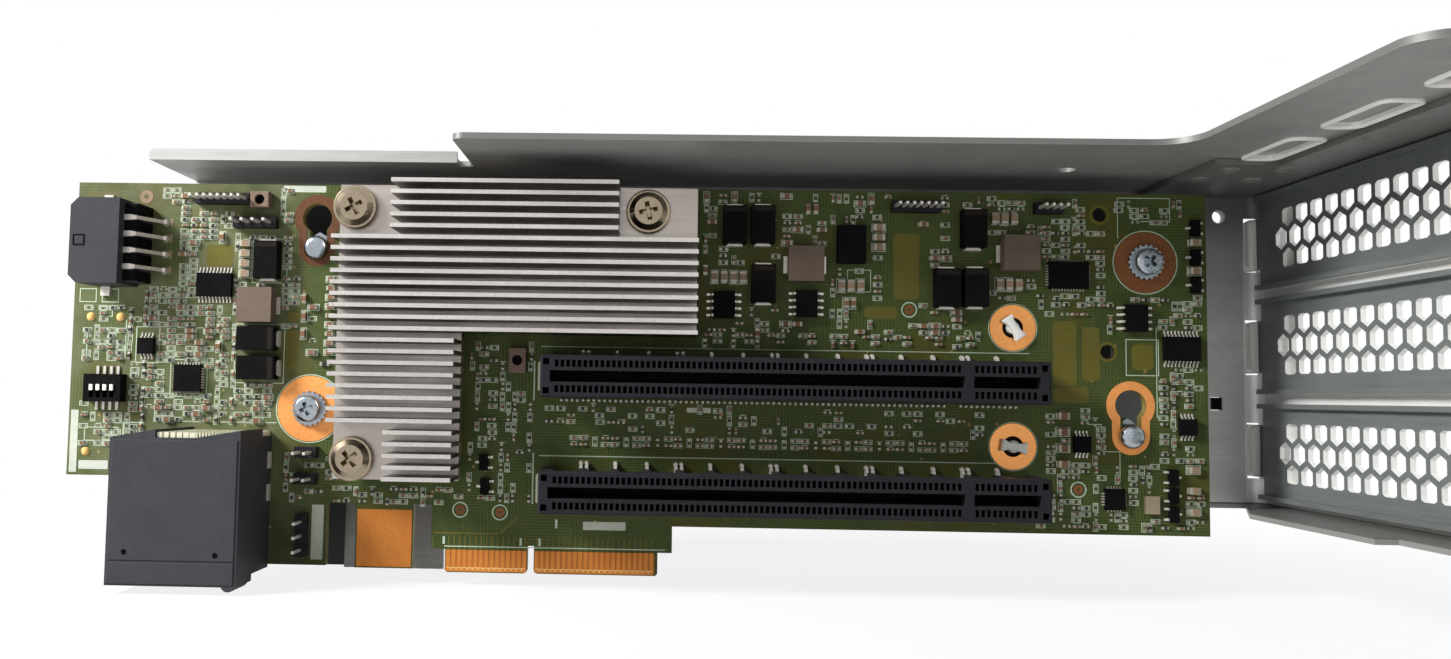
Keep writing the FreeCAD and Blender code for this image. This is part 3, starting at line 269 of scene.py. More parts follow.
def slice_at(item: Piece, spot: Point, normal: Point) -> None:
    """Cut an edge loop where a plane crosses an object.

    Args:
        item: Object to cut.
        spot: A place on the plane, in mm.
        normal: The plane's normal.
    """
    with editing(item, "FACE", lambda middle, out: True):
        bpy.ops.mesh.bisect(plane_co=[v * MM for v in spot], plane_no=normal)


def change(item: Piece, kind: str, **settings: object) -> None:
    """Put one modifier on an object and apply it.

    Args:
        item: Object to change.
        kind: Modifier type.
        settings: Modifier properties.
    """
    only(item)
    modifier = item.modifiers.new(kind.lower(), kind)
    for key, setting in settings.items():
        setattr(modifier, key, setting)
    bpy.ops.object.modifier_apply(modifier=modifier.name)


def cut_away(item: Piece, tool: Piece) -> None:
    """Cut one object out of another and drop the tool."""
    change(item, "BOOLEAN", operation="DIFFERENCE", object=tool, solver="EXACT")
    bpy.data.objects.remove(tool)


def add_to(item: Piece, other: Piece) -> None:
    """Fuse another object into one and drop the other."""
    change(item, "BOOLEAN", operation="UNION", object=other, solver="EXACT")
    bpy.data.objects.remove(other)


def join(name: str, parts: Sequence[Piece]) -> Piece:
    """Join objects into one.

    Args:
        name: Name of the joined object.
        parts: Objects to join; the last one keeps its material slots first.

    Returns:
        The joined object.
    """
    only(*parts)
    if len(parts) > 1:
        bpy.ops.object.join()
    item = bpy.context.active_object
    item.name = name
    return item


def spread(name: str, master: Piece, places: Sequence[Matrix]) -> Piece:
    """Copy a modelled part to many places and join the copies.

    Args:
        name: Name of the joined object.
        master: The part, modelled once; it is removed.
        places: One matrix a copy.

    Returns:
        The joined object.
    """
    copies = []
    for place in places:
        copy = master.copy()
        copy.data = master.data.copy()
        copy.data.transform(place)
        bpy.context.scene.collection.objects.link(copy)
        copies.append(copy)
    bpy.data.objects.remove(master)
    return join(name, copies)


def shift(x: float, y: float, z: float, turn: float = 0.0) -> Matrix:
    """Place of a copy.

    Args:
        x, y, z: Move, in mm.
        turn: Turn about the board's normal, in degrees; 90 takes +X to +Z.

    Returns:
        The matrix of the move and turn.
    """
    return Matrix.Translation((x * MM, y * MM, z * MM)) @ Matrix.Rotation(math.radians(-turn), 4, "Y")


def smooth(item: Piece, degrees: float) -> None:
    """Shade an object's shallow edges smooth."""
    only(item)
    bpy.ops.object.shade_smooth_by_angle(angle=math.radians(degrees))


def finish_piece(item: Piece, *finishes: "Finish", slot: str | None = None,
                 stands_for: str | None = None) -> None:
    """Dress a new piece and set it on the card.

    Args:
        item: The piece.
        finishes: Finishes by material slot.
        slot: The record's material slot, where it has one; not used.
        stands_for: CAD node that the piece shows in its place.
    """
    slots = item.data.materials
    for n, look in enumerate(finishes):
        if n < len(slots):
            slots[n] = look.material()
        else:
            slots.append(look.material())
    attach(item, CARD)
    if stands_for is not None:
        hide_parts(stands_for)
    log.info("%s: %d faces", item.name, len(item.data.polygons))


# Shared effects as node groups


class Effect(Enum):
    """Node groups that several finishes share."""

    GRAIN = "surface_grain"
    BRUSH = "brush_lines"
    HANDLING = "handling_marks"


def open_group(name: str, inputs: Sequence[tuple[str, str, object]],
               outputs: Sequence[tuple[str, str]]) -> bpy.types.ShaderNodeTree:
    """Start a shader node group.

    Args:
        name: Group name.
        inputs: Name, socket type and default of each input.
        outputs: Name and socket type of each output.

    Returns:
        The new group, with its input and output nodes.
    """
    group = bpy.data.node_groups.new(name, "ShaderNodeTree")
    for label, kind, default in inputs:
        socket = group.interface.new_socket(label, in_out="INPUT", socket_type=kind)
        if default is not None:
            socket.default_value = default
    for label, kind in outputs:
        group.interface.new_socket(label, in_out="OUTPUT", socket_type=kind)
    group.nodes.new("NodeGroupInput")
    group.nodes.new("NodeGroupOutput")
    return group


class Wiring:
    """Adds nodes to one tree and links them."""

    def __init__(self, tree: bpy.types.NodeTree) -> None:
        """Keep the tree.

        Args:
            tree: Node tree to write to.
        """
        self.tree = tree

    def add(self, kind: str, inputs: dict[object, object] | None = None, **settings: object) -> bpy.types.Node:
        """Add a node.

        Args:
            kind: Node type without its prefix.
            inputs: Values or sockets by input name or number.
            settings: Node properties.

        Returns:
            The node.
        """
        node = self.tree.nodes.new("ShaderNode" + kind)
        for key, setting in settings.items():
            setattr(node, key, setting)
        self.feed(node, inputs or {})
        return node

    def feed(self, node: bpy.types.Node, inputs: dict[object, object]) -> None:
        """Set a node's inputs.

        Args:
            node: Node to feed.
            inputs: Values or sockets by input name or number.
        """
        for key, source in inputs.items():
            if isinstance(source, Socket):
                self.tree.links.new(source, node.inputs[key])
            else:
                node.inputs[key].default_value = source

    def measured(self, place: Socket) -> Sequence[Socket]:
        """Split object coordinates into X, Y and Z in mm."""
        scaled = self.vector("MULTIPLY", place, (1.0 / MM, 1.0 / MM, 1.0 / MM))
        return self.add("SeparateXYZ", {0: scaled}).outputs

    def math(self, operation: str, *values: object) -> Socket:
        """Add a Math node and return its result."""
        return self.add("Math", dict(enumerate(values)), operation=operation).outputs[0]

    def vector(self, operation: str, *values: object) -> Socket:
        """Add a Vector Math node and return its vector."""
        return self.add("VectorMath", dict(enumerate(values)), operation=operation).outputs[0]

    def mix(self, share: object, first: object, second: object) -> Socket:
        """Mix two colours by a share and return the colour."""
        inputs = {0: share, 6: first, 7: second}
        return self.add("Mix", inputs, data_type="RGBA").outputs[2]

    def span(self, source: object, low: float, high: float, to_low: object, to_high: object) -> Socket:
        """Map a value from one range to another, clamped."""
        return self.add("MapRange", {0: source, 1: low, 2: high, 3: to_low, 4: to_high}).outputs[0]

    def between(self, source: object, low: float, high: float) -> Socket:
        """Mask of the values between two limits."""
        return self.math("MULTIPLY", self.math("GREATER_THAN", source, low), self.math("LESS_THAN", source, high))

    def ends(self) -> tuple[bpy.types.Node, bpy.types.Node]:
        """Input and output nodes of a group."""
        return self.tree.nodes["Group Input"], self.tree.nodes["Group Output"]


def make_grain() -> bpy.types.ShaderNodeTree:
    """Make the two-tone cloudy grain with a fine height.

    Returns:
        The group.
    """
    group = open_group(Effect.GRAIN.value, [
        ("Vector", "NodeSocketVector", None), ("Scale", "NodeSocketFloat", 1000.0),
        ("Tone", "NodeSocketColor", (0.5, 0.5, 0.5, 1)), ("Shade", "NodeSocketColor", (0.4, 0.4, 0.4, 1)),
    ], [("Colour", "NodeSocketColor"), ("Height", "NodeSocketFloat")])
    wiring = Wiring(group)
    start, end = wiring.ends()
    fine = wiring.add("TexNoise", {"Vector": start.outputs[0], "Scale": start.outputs[1], "Detail": 3.0})
    broad_scale = wiring.math("MULTIPLY", start.outputs[1], 0.06)
    broad = wiring.add("TexNoise", {"Vector": start.outputs[0], "Scale": broad_scale, "Detail": 2.0})
    both = wiring.math("ADD", wiring.math("MULTIPLY", fine.outputs[0], 0.55),
                       wiring.math("MULTIPLY", broad.outputs[0], 0.45))
    share = wiring.span(both, 0.36, 0.64, 0.0, 1.0)
    wiring.feed(end, {0: wiring.mix(share, start.outputs[2], start.outputs[3]), 1: fine.outputs[0]})
    return group


def make_brush() -> bpy.types.ShaderNodeTree:
    """Make the fine drawn lines along one direction.

    Returns:
        The group.
    """
    group = open_group(Effect.BRUSH.value, [
        ("Vector", "NodeSocketVector", None), ("Stretch", "NodeSocketVector", (60.0, 2500.0, 2500.0)),
    ], [("Mask", "NodeSocketFloat")])
    wiring = Wiring(group)
    start, end = wiring.ends()
    drawn = wiring.vector("MULTIPLY", start.outputs[0], start.outputs[1])
    lines = wiring.add("TexNoise", {"Vector": drawn, "Scale": 1.0, "Detail": 4.0, "Roughness": 0.65})
    wiring.feed(end, {0: wiring.span(lines.outputs[0], 0.3, 0.7, 0.0, 1.0)})
    return group


def make_handling() -> bpy.types.ShaderNodeTree:
    """Make the smudges and dust, a roughness between two values.

    Returns:
        The group.
    """
    group = open_group(Effect.HANDLING.value, [
        ("Vector", "NodeSocketVector", None), ("Scale", "NodeSocketFloat", 60.0),
        ("Clean", "NodeSocketFloat", 0.3), ("Dull", "NodeSocketFloat", 0.5),
    ], [("Roughness", "NodeSocketFloat")])
    wiring = Wiring(group)
    start, end = wiring.ends()
    cloud = wiring.add("TexNoise", {"Vector": start.outputs[0], "Scale": start.outputs[1], "Detail": 6.0,
                                    "Roughness": 0.7})
    wiring.feed(end, {0: wiring.span(cloud.outputs[0], 0.35, 0.65, start.outputs[2], start.outputs[3])})
    return group


MAKERS: dict[Effect, Callable[[], bpy.types.ShaderNodeTree]] = {
    Effect.GRAIN: make_grain, Effect.BRUSH: make_brush, Effect.HANDLING: make_handling,
}


def effect(wiring: Wiring, kind: Effect, inputs: dict[object, object]) -> bpy.types.Node:
    """Place a shared effect in a material.

    Args:
        wiring: The material's wiring.
        kind: Which effect.
        inputs: Values or sockets by input name.

    Returns:
        The group node.
    """
    group = bpy.data.node_groups.get(kind.value) or MAKERS[kind]()
    return wiring.add("Group", inputs, node_tree=group)


# Finishes


def opaque(colour: Colour) -> tuple[float, float, float, float]:
    """A colour with full alpha."""
    return (*colour, 1.0)


@dataclass(frozen=True)
class Finish:
    """A finish with a two-tone grain, handling marks and a fine relief."""

    name: str
    tone: Colour
    shade: Colour
    clean: float
    dull: float
    metallic: float = 0.0
    grain: float = 0.5
    relief: float = 0.01
    specular: float = 0.5
    brushed: Point | None = None
    line_roughness: float = 0.16

    def material(self) -> bpy.types.Material:
        """Return the finish's material, built once."""
        found = bpy.data.materials.get(self.name)
        return found or self.build()

    def begin(self) -> tuple[bpy.types.Material, Wiring, bpy.types.Node, Socket]:
        """Start the material.

        Returns:
            The material, its wiring, its shader and the object coordinates.
        """
        made = bpy.data.materials.new(self.name)
        made.use_nodes = True
        made.diffuse_color = opaque(self.tone)
        wiring = Wiring(made.node_tree)
        shader = made.node_tree.nodes["Principled BSDF"]
        wiring.feed(shader, {"Metallic": self.metallic, "Specular IOR Level": self.specular})
        return made, wiring, shader, wiring.add("TexCoord").outputs["Object"]

    def grained(self, wiring: Wiring, place: Socket) -> bpy.types.Node:
        """Place the finish's grain.

        Args:
            wiring: The material's wiring.
            place: The object coordinates.

        Returns:
            The grain's node.
        """
        return effect(wiring, Effect.GRAIN, {
            "Vector": place, "Scale": 1.0 / (self.grain * MM), "Tone": opaque(self.tone),
            "Shade": opaque(self.shade),
        })

    def tones(self, wiring: Wiring, place: Socket, plain: Socket) -> Socket:
        """Lay tones by place over the plain colour, where a finish has them.

        Args:
            wiring: The material's wiring.
            place: The object coordinates.
            plain: The plain colour.

        Returns:
            The colour to show.
        """
        return plain

    def build(self) -> bpy.types.Material:
        """Build the material's nodes.

        Returns:
            The material.
        """
        made, wiring, shader, place = self.begin()
        grain = self.grained(wiring, place)
        marks = effect(wiring, Effect.HANDLING, {"Vector": place, "Clean": self.clean, "Dull": self.dull})
        rough = marks.outputs[0]
        height = grain.outputs[1]
        if self.brushed is not None:
            lines = effect(wiring, Effect.BRUSH, {"Vector": place, "Stretch": self.brushed}).outputs[0]
            rough = wiring.math("ADD", rough, wiring.math("MULTIPLY", lines, self.line_roughness))
            height = lines
        bump = wiring.add("Bump", {"Height": height, "Strength": 0.35, "Distance": self.relief * MM})
        colour = self.tones(wiring, place, grain.outputs[0])
        wiring.feed(shader, {"Base Color": colour, "Roughness": rough, "Normal": bump.outputs[0]})
        return made


@dataclass(frozen=True)
class ZincSheet(Finish):
    """Galvanised sheet: a faint spangle under drawn lines and dull patches."""

    spangle: float = 5.0
    warp: Point = (3 * MM, 3 * MM, 3 * MM)
    drawn: Point = (90.0, 90.0, 1400.0)
    flake_share: float = 0.3
    flake_roughness: float = 0.07

    def build(self) -> bpy.types.Material:
        """Build the material's nodes.

        Returns:
            The material.
        """
        made, wiring, shader, place = self.begin()
        cloud = wiring.add("TexNoise", {"Vector": place, "Scale": 180.0, "Detail": 2.0})
        bent = wiring.vector("ADD", place, wiring.vector("MULTIPLY", cloud.outputs[1], self.warp))
        flakes = wiring.add("TexVoronoi", {"Vector": bent, "Scale": 1.0 / (self.spangle * MM)})
        flake = wiring.add("SeparateColor", {0: flakes.outputs["Color"]}).outputs[0]
        lines = effect(wiring, Effect.BRUSH, {"Vector": place, "Stretch": self.drawn}).outputs[0]
        marks = effect(wiring, Effect.HANDLING, {"Vector": place, "Scale": 35.0, "Clean": self.clean,
                                                 "Dull": self.dull}).outputs[0]
        share = wiring.math("ADD", wiring.math("MULTIPLY", flake, self.flake_share),
                            wiring.math("MULTIPLY", lines, 1.0 - self.flake_share))
        rough = wiring.math("ADD", marks, wiring.math("MULTIPLY", flake, self.flake_roughness))
        bump = wiring.add("Bump", {"Height": lines, "Strength": 0.2, "Distance": self.relief * MM})
        colour = self.tones(wiring, place, wiring.mix(share, opaque(self.tone), opaque(self.shade)))
        wiring.feed(shader, {"Base Color": colour, "Roughness": rough, "Normal": bump.outputs[0]})
        return made


@dataclass(frozen=True)
class PunchedSheet(ZincSheet):
    """Galvanised sheet with a painted highlight on its punched walls, within the sheet's thickness."""

    walls: Pair = (COVER_X[0] + 0.02, COVER_X[1] - 0.02)
    # The bright tone is a painted highlight on the punched walls.
    bright: Colour = (0.90, 0.90, 0.87)

    def tones(self, wiring: Wiring, place: Socket, plain: Socket) -> Socket:
        """Paint a highlight on the punched walls."""
        # Painted highlight inside the sheet's thickness.
        inside = wiring.between(wiring.measured(place)[0], *self.walls)
        return wiring.mix(inside, plain, opaque(self.bright))


@dataclass(frozen=True)
class PressedSheet(ZincSheet):
    """Galvanised sheet with painted shade along its cut edge and a painted highlight on its pressed pads' walls."""

    edge: Pair = (75.22, 76.18)
    edge_left: float = -13.0
    edge_back: float = 10.0
    # Painted shade along the flange's cut edge.
    edge_shade: Colour = (0.15, 0.146, 0.138)
    pads: Pair = (122.4, 128.3)
    pad_front: float = -79.0
    pad_floor: float = 75.74
    # Painted highlight on the pressed pads' walls.
    pad_highlight: Colour = (0.95, 0.94, 0.91)

    def tones(self, wiring: Wiring, place: Socket, plain: Socket) -> Socket:
        """Paint shade on the cut edge and a highlight on the pads' walls.

        Args:
            wiring: The material's wiring.
            place: The object coordinates.
            plain: The plain colour.

        Returns:
            The colour to show.
        """
        across, depth, up = wiring.measured(place)
        # Painted shade along the cut edge, with a painted highlight on the pads' walls below their floor.
        cut = wiring.math("MULTIPLY", wiring.between(up, *self.edge),
                          wiring.math("GREATER_THAN", across, self.edge_left))
        cut = wiring.math("MULTIPLY", cut, wiring.math("LESS_THAN", depth, self.edge_back))
        pad = wiring.math("MULTIPLY", wiring.between(across, *self.pads),
                          wiring.math("GREATER_THAN", depth, self.pad_front))
        floor = wiring.math("GREATER_THAN", up, self.pad_floor)
        # pressed holds the pads' walls in painted highlight and leaves their floor plain.
        pressed = wiring.mix(floor, opaque(self.pad_highlight), plain)
        return wiring.mix(cut, plain, wiring.mix(pad, opaque(self.edge_shade), pressed))


@dataclass(frozen=True)
class FoldedSheet(ZincSheet):
    """Galvanised sheet with painted shade inside its upper fold, darker towards the top, and on its foot, and a
    painted highlight along its corner bend.
    """

    fold: Pair = (48.0, 71.0)
    inside: float = 141.6
    # Painted shade inside the upper fold, darker towards the top.
    fold_shade: Colour = (0.19, 0.187, 0.176)
    bend: Pair = (138.6, 141.65)
    bend_depth: float = 14.8
    # Painted highlight along the corner bend.
    bend_highlight: Colour = (0.95, 0.95, 0.93)
    foot: Pair = (13.4, 13.75)
    # Painted shade on the foot, and a lighter painted shade below it.
    foot_shade: Colour = (0.13, 0.127, 0.12)
    foot_edge_shade: Colour = (0.27, 0.262, 0.25)

    def tones(self, wiring: Wiring, place: Socket, plain: Socket) -> Socket:
        """Paint shade on the fold and the foot, and a highlight on the bend.

        Args:
            wiring: The material's wiring.
            place: The object coordinates.
            plain: The plain colour.

        Returns:
            The colour to show.
        """
        across, depth, up = wiring.measured(place)
        # dull is the share of painted shade inside the upper fold.
        dull = wiring.math("MULTIPLY", wiring.span(up, *self.fold, 0.0, 1.0),
                           wiring.math("LESS_THAN", across, self.inside))
        bent = wiring.math("MULTIPLY", wiring.between(across, *self.bend),
                           wiring.math("GREATER_THAN", depth, self.bend_depth))
        # Painted highlight on the corner bend.
        bend_lit = wiring.mix(bent, plain, opaque(self.bend_highlight))
        folded = wiring.mix(dull, bend_lit, opaque(self.fold_shade))
        low, high = self.foot
        edged = wiring.mix(wiring.math("LESS_THAN", up, low), folded, opaque(self.foot_edge_shade))
        return wiring.mix(wiring.between(up, low, high), edged, opaque(self.foot_shade))


@dataclass(frozen=True)
class FinnedAluminium(Finish):
    """Drawn aluminium with painted shade down its fins' sides and over its base; the fin tips keep most of the plain
    tone.
    """

    sides: Triple = (-14.15, -11.8, -6.55)
    tip_share: float = 0.15
    # Painted shade down the fins' sides and over the base.
    channel_shade: Colour = (0.10, 0.095, 0.092)
    base_shade: Colour = (0.40, 0.36, 0.33)

    def tones(self, wiring: Wiring, place: Socket, plain: Socket) -> Socket:
        """Paint shade on the fins' sides and the base.

        Args:
            wiring: The material's wiring.
            place: The object coordinates.
            plain: The plain colour.

        Returns:
            The colour to show.
        """
        depth = wiring.measured(place)[1]
        tip, middle, floor = self.sides
        # Painted shade, growing from the fin tips down their sides.
        fin = wiring.math("MULTIPLY", wiring.span(depth, tip, middle, self.tip_share, 1.0),
                          wiring.between(depth, tip, floor))
        based = wiring.mix(wiring.math("GREATER_THAN", depth, floor), plain, opaque(self.base_shade))
        return wiring.mix(fin, based, opaque(self.channel_shade))


@dataclass(frozen=True)
class SolderMask(Finish):
    """Green mask over thin traces, plain copper areas and plated vias, with bare laminate on the cut edges and a
    painted sheen towards the left end.
    """

    trace: Colour = (0.0835, 0.1018, 0.0274)
    area: Colour = (0.0696, 0.0710, 0.0160)
    via: Colour = (0.30, 0.20, 0.075)
    edge: Colour = (0.20, 0.165, 0.055)
    # Painted sheen: a pale cloudy wash towards the board's left end.
    left_sheen: Colour = (0.26, 0.255, 0.16)
    left_sheen_ends: Pair = (-38.0, -50.0)
    hole: Colour = (0.012, 0.014, 0.007)
    half_board: float = 0.79
    level_traces: Triple = (9.3, 0.56, 0.07)
    upright_traces: Triple = (8.1, 0.62, 0.075)
    routed_share: float = 0.62
    bare_share: float = 0.84
    via_radii: Pair = (0.12, 0.05)
    via_share: float = 0.45

    def bricks(self, wiring: Wiring, flat: Socket, width: float, row: float, gap: float) -> Socket:
        """Rows of strips on a plane.

        Args:
            wiring: The material's wiring.
            flat: Coordinates in mm.
            width: Length of a strip, in mm.
            row: Pitch of the rows, in mm.
            gap: Gap between strips, in mm.

        Returns:
            A mask that is 1 in the gaps.
        """
        node = wiring.add("TexBrick", {"Vector": flat, "Scale": 1.0, "Mortar Size": gap, "Mortar Smooth": 0.0,
                                       "Brick Width": width, "Row Height": row}, offset=0.37)
        return node.outputs["Fac"]

    def build(self) -> bpy.types.Material:
        """Build the material's nodes.

        Returns:
            The material.
        """
        made, wiring, shader, place = self.begin()
        across, depth, up = wiring.measured(place)
        flat = wiring.add("CombineXYZ", {0: across, 1: up}).outputs[0]
        turned = wiring.add("CombineXYZ", {0: up, 1: across}).outputs[0]
        patch = wiring.add("TexVoronoi", {"Vector": flat, "Scale": 0.16}, distance="CHEBYCHEV")
        pick = wiring.add("SeparateColor", {0: patch.outputs["Color"]})
        level = self.bricks(wiring, flat, *self.level_traces)
        upright = self.bricks(wiring, turned, *self.upright_traces)
        stands = wiring.math("GREATER_THAN", pick.outputs[0], 0.5)
        lines = wiring.add("Mix", {0: stands, 2: level, 3: upright}).outputs[0]
        routed = wiring.math("MULTIPLY", lines, wiring.math("LESS_THAN", pick.outputs[1], self.routed_share))
        grain = self.grained(wiring, place)
        plain = wiring.math("GREATER_THAN", pick.outputs[1], self.bare_share)
        colour = wiring.mix(plain, grain.outputs[0], opaque(self.area))
        colour = wiring.mix(routed, colour, opaque(self.trace))
        dots = wiring.add("TexVoronoi", {"Vector": flat, "Scale": 0.40, "Randomness": 0.9})
        ring, hole = [wiring.math("LESS_THAN", dots.outputs["Distance"], size) for size in self.via_radii]
        chance = wiring.add("SeparateColor", {0: dots.outputs["Color"]}).outputs[0]
        few = wiring.math("GREATER_THAN", chance, self.via_share)
        colour = wiring.mix(wiring.math("MULTIPLY", ring, few), colour, opaque(self.via))
        colour = wiring.mix(wiring.math("MULTIPLY", hole, few), colour, opaque(self.hole))
        # Painted sheen over the left end.
        cloud = wiring.add("TexNoise", {"Vector": place, "Scale": 140.0, "Detail": 5.0})
        sheen_share = wiring.math("MULTIPLY", wiring.span(across, *self.left_sheen_ends, 0.0, 1.0),
                            wiring.span(cloud.outputs[0], 0.3, 0.7, 0.04, 0.42))
        colour = wiring.mix(sheen_share, colour, opaque(self.left_sheen))
        cut = wiring.math("LESS_THAN", wiring.math("ABSOLUTE", depth), self.half_board)
        colour = wiring.mix(cut, colour, opaque(self.edge))
        marks = effect(wiring, Effect.HANDLING, {"Vector": place, "Clean": self.clean, "Dull": self.dull})
        bump = wiring.add("Bump", {"Height": wiring.math("ADD", routed, ring), "Strength": 0.4,
                                   "Distance": self.relief * MM})
        wiring.feed(shader, {"Base Color": colour, "Roughness": marks.outputs[0], "Normal": bump.outputs[0]})
        return made


MASK = SolderMask("green_solder_mask", (0.0418, 0.0595, 0.0160), (0.0580, 0.0768, 0.0217), 0.36, 0.52, grain=1.2,
                  relief=0.03, specular=0.12)
GOLD = Finish("gold_contact", (0.56, 0.20, 0.034), (0.46, 0.155, 0.026), 0.38, 0.52, metallic=0.4, grain=0.5,
              brushed=(2500.0, 2500.0, 120.0), specular=0.3)
COPPER = Finish("bare_copper", (0.86, 0.36, 0.108), (0.72, 0.29, 0.08), 0.42, 0.58, metallic=0.55, grain=0.5,
                relief=0.02, specular=0.3)
# A darker copy of the copper: painted shade on the right screw ring and the test dots.
SHADED_COPPER = Finish("copper_in_painted_shade", (0.24, 0.093, 0.034), (0.17, 0.064, 0.024), 0.45, 0.6, metallic=0.2, grain=0.6,
              relief=0.02, specular=0.2)
# The darkest copy of the copper: painted shade on the left keyhole's ring.
DEEPLY_SHADED_COPPER = Finish("copper_in_deep_painted_shade", (0.115, 0.046, 0.019), (0.082, 0.033, 0.014), 0.45, 0.6, metallic=0.1,
                   grain=0.6, relief=0.02, specular=0.2)
# A shinier, fully metallic copy of the copper: painted light, so the peg rings read bright where they lie in shade.
LIT_COPPER = Finish("copper_lit_copy", (0.64, 0.275, 0.087), (0.54, 0.23, 0.072), 0.16, 0.26, metallic=1.0, grain=0.5,
                relief=0.01)
ZINC = Finish("bright_zinc", (0.42, 0.45, 0.48), (0.30, 0.34, 0.38), 0.16, 0.30, metallic=1.0, grain=0.4)
NICKEL = Finish("nickel_screw", (0.38, 0.315, 0.23), (0.29, 0.235, 0.165), 0.20, 0.34, metallic=1.0, grain=0.5)
CAGE = PressedSheet("cage_sheet", (0.385, 0.38, 0.367), (0.303, 0.302, 0.293), 0.36, 0.52, metallic=0.4,
                    relief=0.02)
# The wall's sheet is a paler copy of the cage's sheet: painted light on its rear plate, which lies in the board's
# shadow.
WALL = FoldedSheet("wall_sheet", (0.72, 0.72, 0.70), (0.60, 0.60, 0.585), 0.36, 0.52, metallic=0.4, relief=0.02)
COVER = PunchedSheet("cover_sheet", (0.215, 0.236, 0.23), (0.16, 0.177, 0.172), 0.34, 0.50, metallic=0.45,
                     relief=0.02)
# Near-white sheet finish: painted highlight on the pads' rims and the tongue rolls.
HIGHLIGHT_SHEET = Finish("sheet_painted_highlight", (0.96, 0.95, 0.92), (0.86, 0.85, 0.82), 0.3, 0.45, grain=0.5, specular=0.3)
ALUMINIUM = FinnedAluminium("drawn_aluminium", (0.60, 0.57, 0.545), (0.49, 0.465, 0.44), 0.20, 0.30, metallic=0.95,
                            grain=0.6, relief=0.012, brushed=(40.0, 1800.0, 1800.0))
SOCKET = Finish("socket_moulding", (0.014, 0.0135, 0.0165), (0.019, 0.0185, 0.022), 0.45, 0.6, grain=0.25,
                specular=0.08)
CONNECTOR = Finish("connector_moulding", (0.034, 0.035, 0.040), (0.045, 0.046, 0.052), 0.5, 0.64, grain=0.5,
                   relief=0.02, specular=0.1)
PACKAGE = Finish("package_epoxy", (0.004, 0.0036, 0.004), (0.007, 0.0066, 0.007), 0.5, 0.66, grain=0.15,
                 specular=0.03)
CORE = Finish("pressed_powder", (0.152, 0.116, 0.090), (0.122, 0.091, 0.071), 0.6, 0.75, grain=0.2, relief=0.03,
              specular=0.08)
BAR = Finish("polarity_mark", (0.022, 0.018, 0.015), (0.016, 0.013, 0.011), 0.6, 0.75, grain=0.2, specular=0.03)
TIN = Finish("tin_plate", (0.70, 0.66, 0.60), (0.56, 0.52, 0.47), 0.26, 0.42, metallic=0.45, grain=0.25)
CAN = Finish("drawn_can", (0.35, 0.28, 0.185), (0.26, 0.205, 0.135), 0.24, 0.4, metallic=0.5, grain=0.4)
SOLDER = Finish("solder", (0.37, 0.35, 0.285), (0.255, 0.24, 0.195), 0.26, 0.42, metallic=0.4, grain=0.6)
CERAMIC = Finish("fired_ceramic", (0.20, 0.105, 0.055), (0.15, 0.078, 0.040), 0.42, 0.6, grain=0.2, specular=0.25)
BUFF = Finish("buff_ceramic", (0.30, 0.215, 0.14), (0.23, 0.16, 0.10), 0.42, 0.6, grain=0.2, specular=0.2)
PASTE = Finish("resistor_glaze", (0.014, 0.014, 0.015), (0.026, 0.026, 0.027), 0.34, 0.5, grain=0.2, specular=0.25)
CLAY = Finish("brown_coil_form", (0.20, 0.135, 0.10), (0.15, 0.10, 0.075), 0.5, 0.65, grain=0.25, specular=0.2)
PAD = Finish("gap_filler", (0.36, 0.37, 0.39), (0.30, 0.31, 0.33), 0.7, 0.85, grain=0.3)
SLIDER = Finish("slider_moulding", (0.80, 0.79, 0.73), (0.72, 0.71, 0.65), 0.35, 0.5, grain=0.2)
WAFER = Finish("wafer_moulding", (0.62, 0.61, 0.47), (0.54, 0.53, 0.40), 0.5, 0.65, grain=0.2, specular=0.3)
NYLON = Finish("white_nylon", (0.70, 0.57, 0.43), (0.62, 0.49, 0.36), 0.42, 0.55, grain=0.4, specular=0.25)
FILM = Finish("black_film", (0.080, 0.069, 0.061), (0.104, 0.09, 0.08), 0.4, 0.55, grain=0.6, specular=0.08)
INK = Finish("pale_print", (0.50, 0.60, 0.46), (0.39, 0.48, 0.36), 0.65, 0.8, grain=0.2, specular=0.1)
BLANK = Finish("blank_print", (0.52, 0.55, 0.47), (0.42, 0.45, 0.38), 0.65, 0.8, grain=0.3, specular=0.1)
POUR = Finish("masked_copper", (0.125, 0.108, 0.016), (0.098, 0.087, 0.014), 0.36, 0.5, grain=0.8, relief=0.02,
              specular=0.2)
LAMINATE = Finish("bare_laminate", (0.74, 0.44, 0.16), (0.62, 0.35, 0.11), 0.5, 0.65, grain=0.3, relief=0.02,
                  specular=0.2)
GAP = Finish("gap_between_contacts", (0.40, 0.135, 0.028), (0.32, 0.105, 0.022), 0.5, 0.65, grain=0.3, specular=0.15)
# Near-black fill that is painted shade: on the socket springs and in the peg holes.
DEEP_SHADE = Finish("near_black_painted_shade", (0.040, 0.024, 0.014), (0.028, 0.017, 0.010), 0.6, 0.75, grain=0.4, specular=0.1)

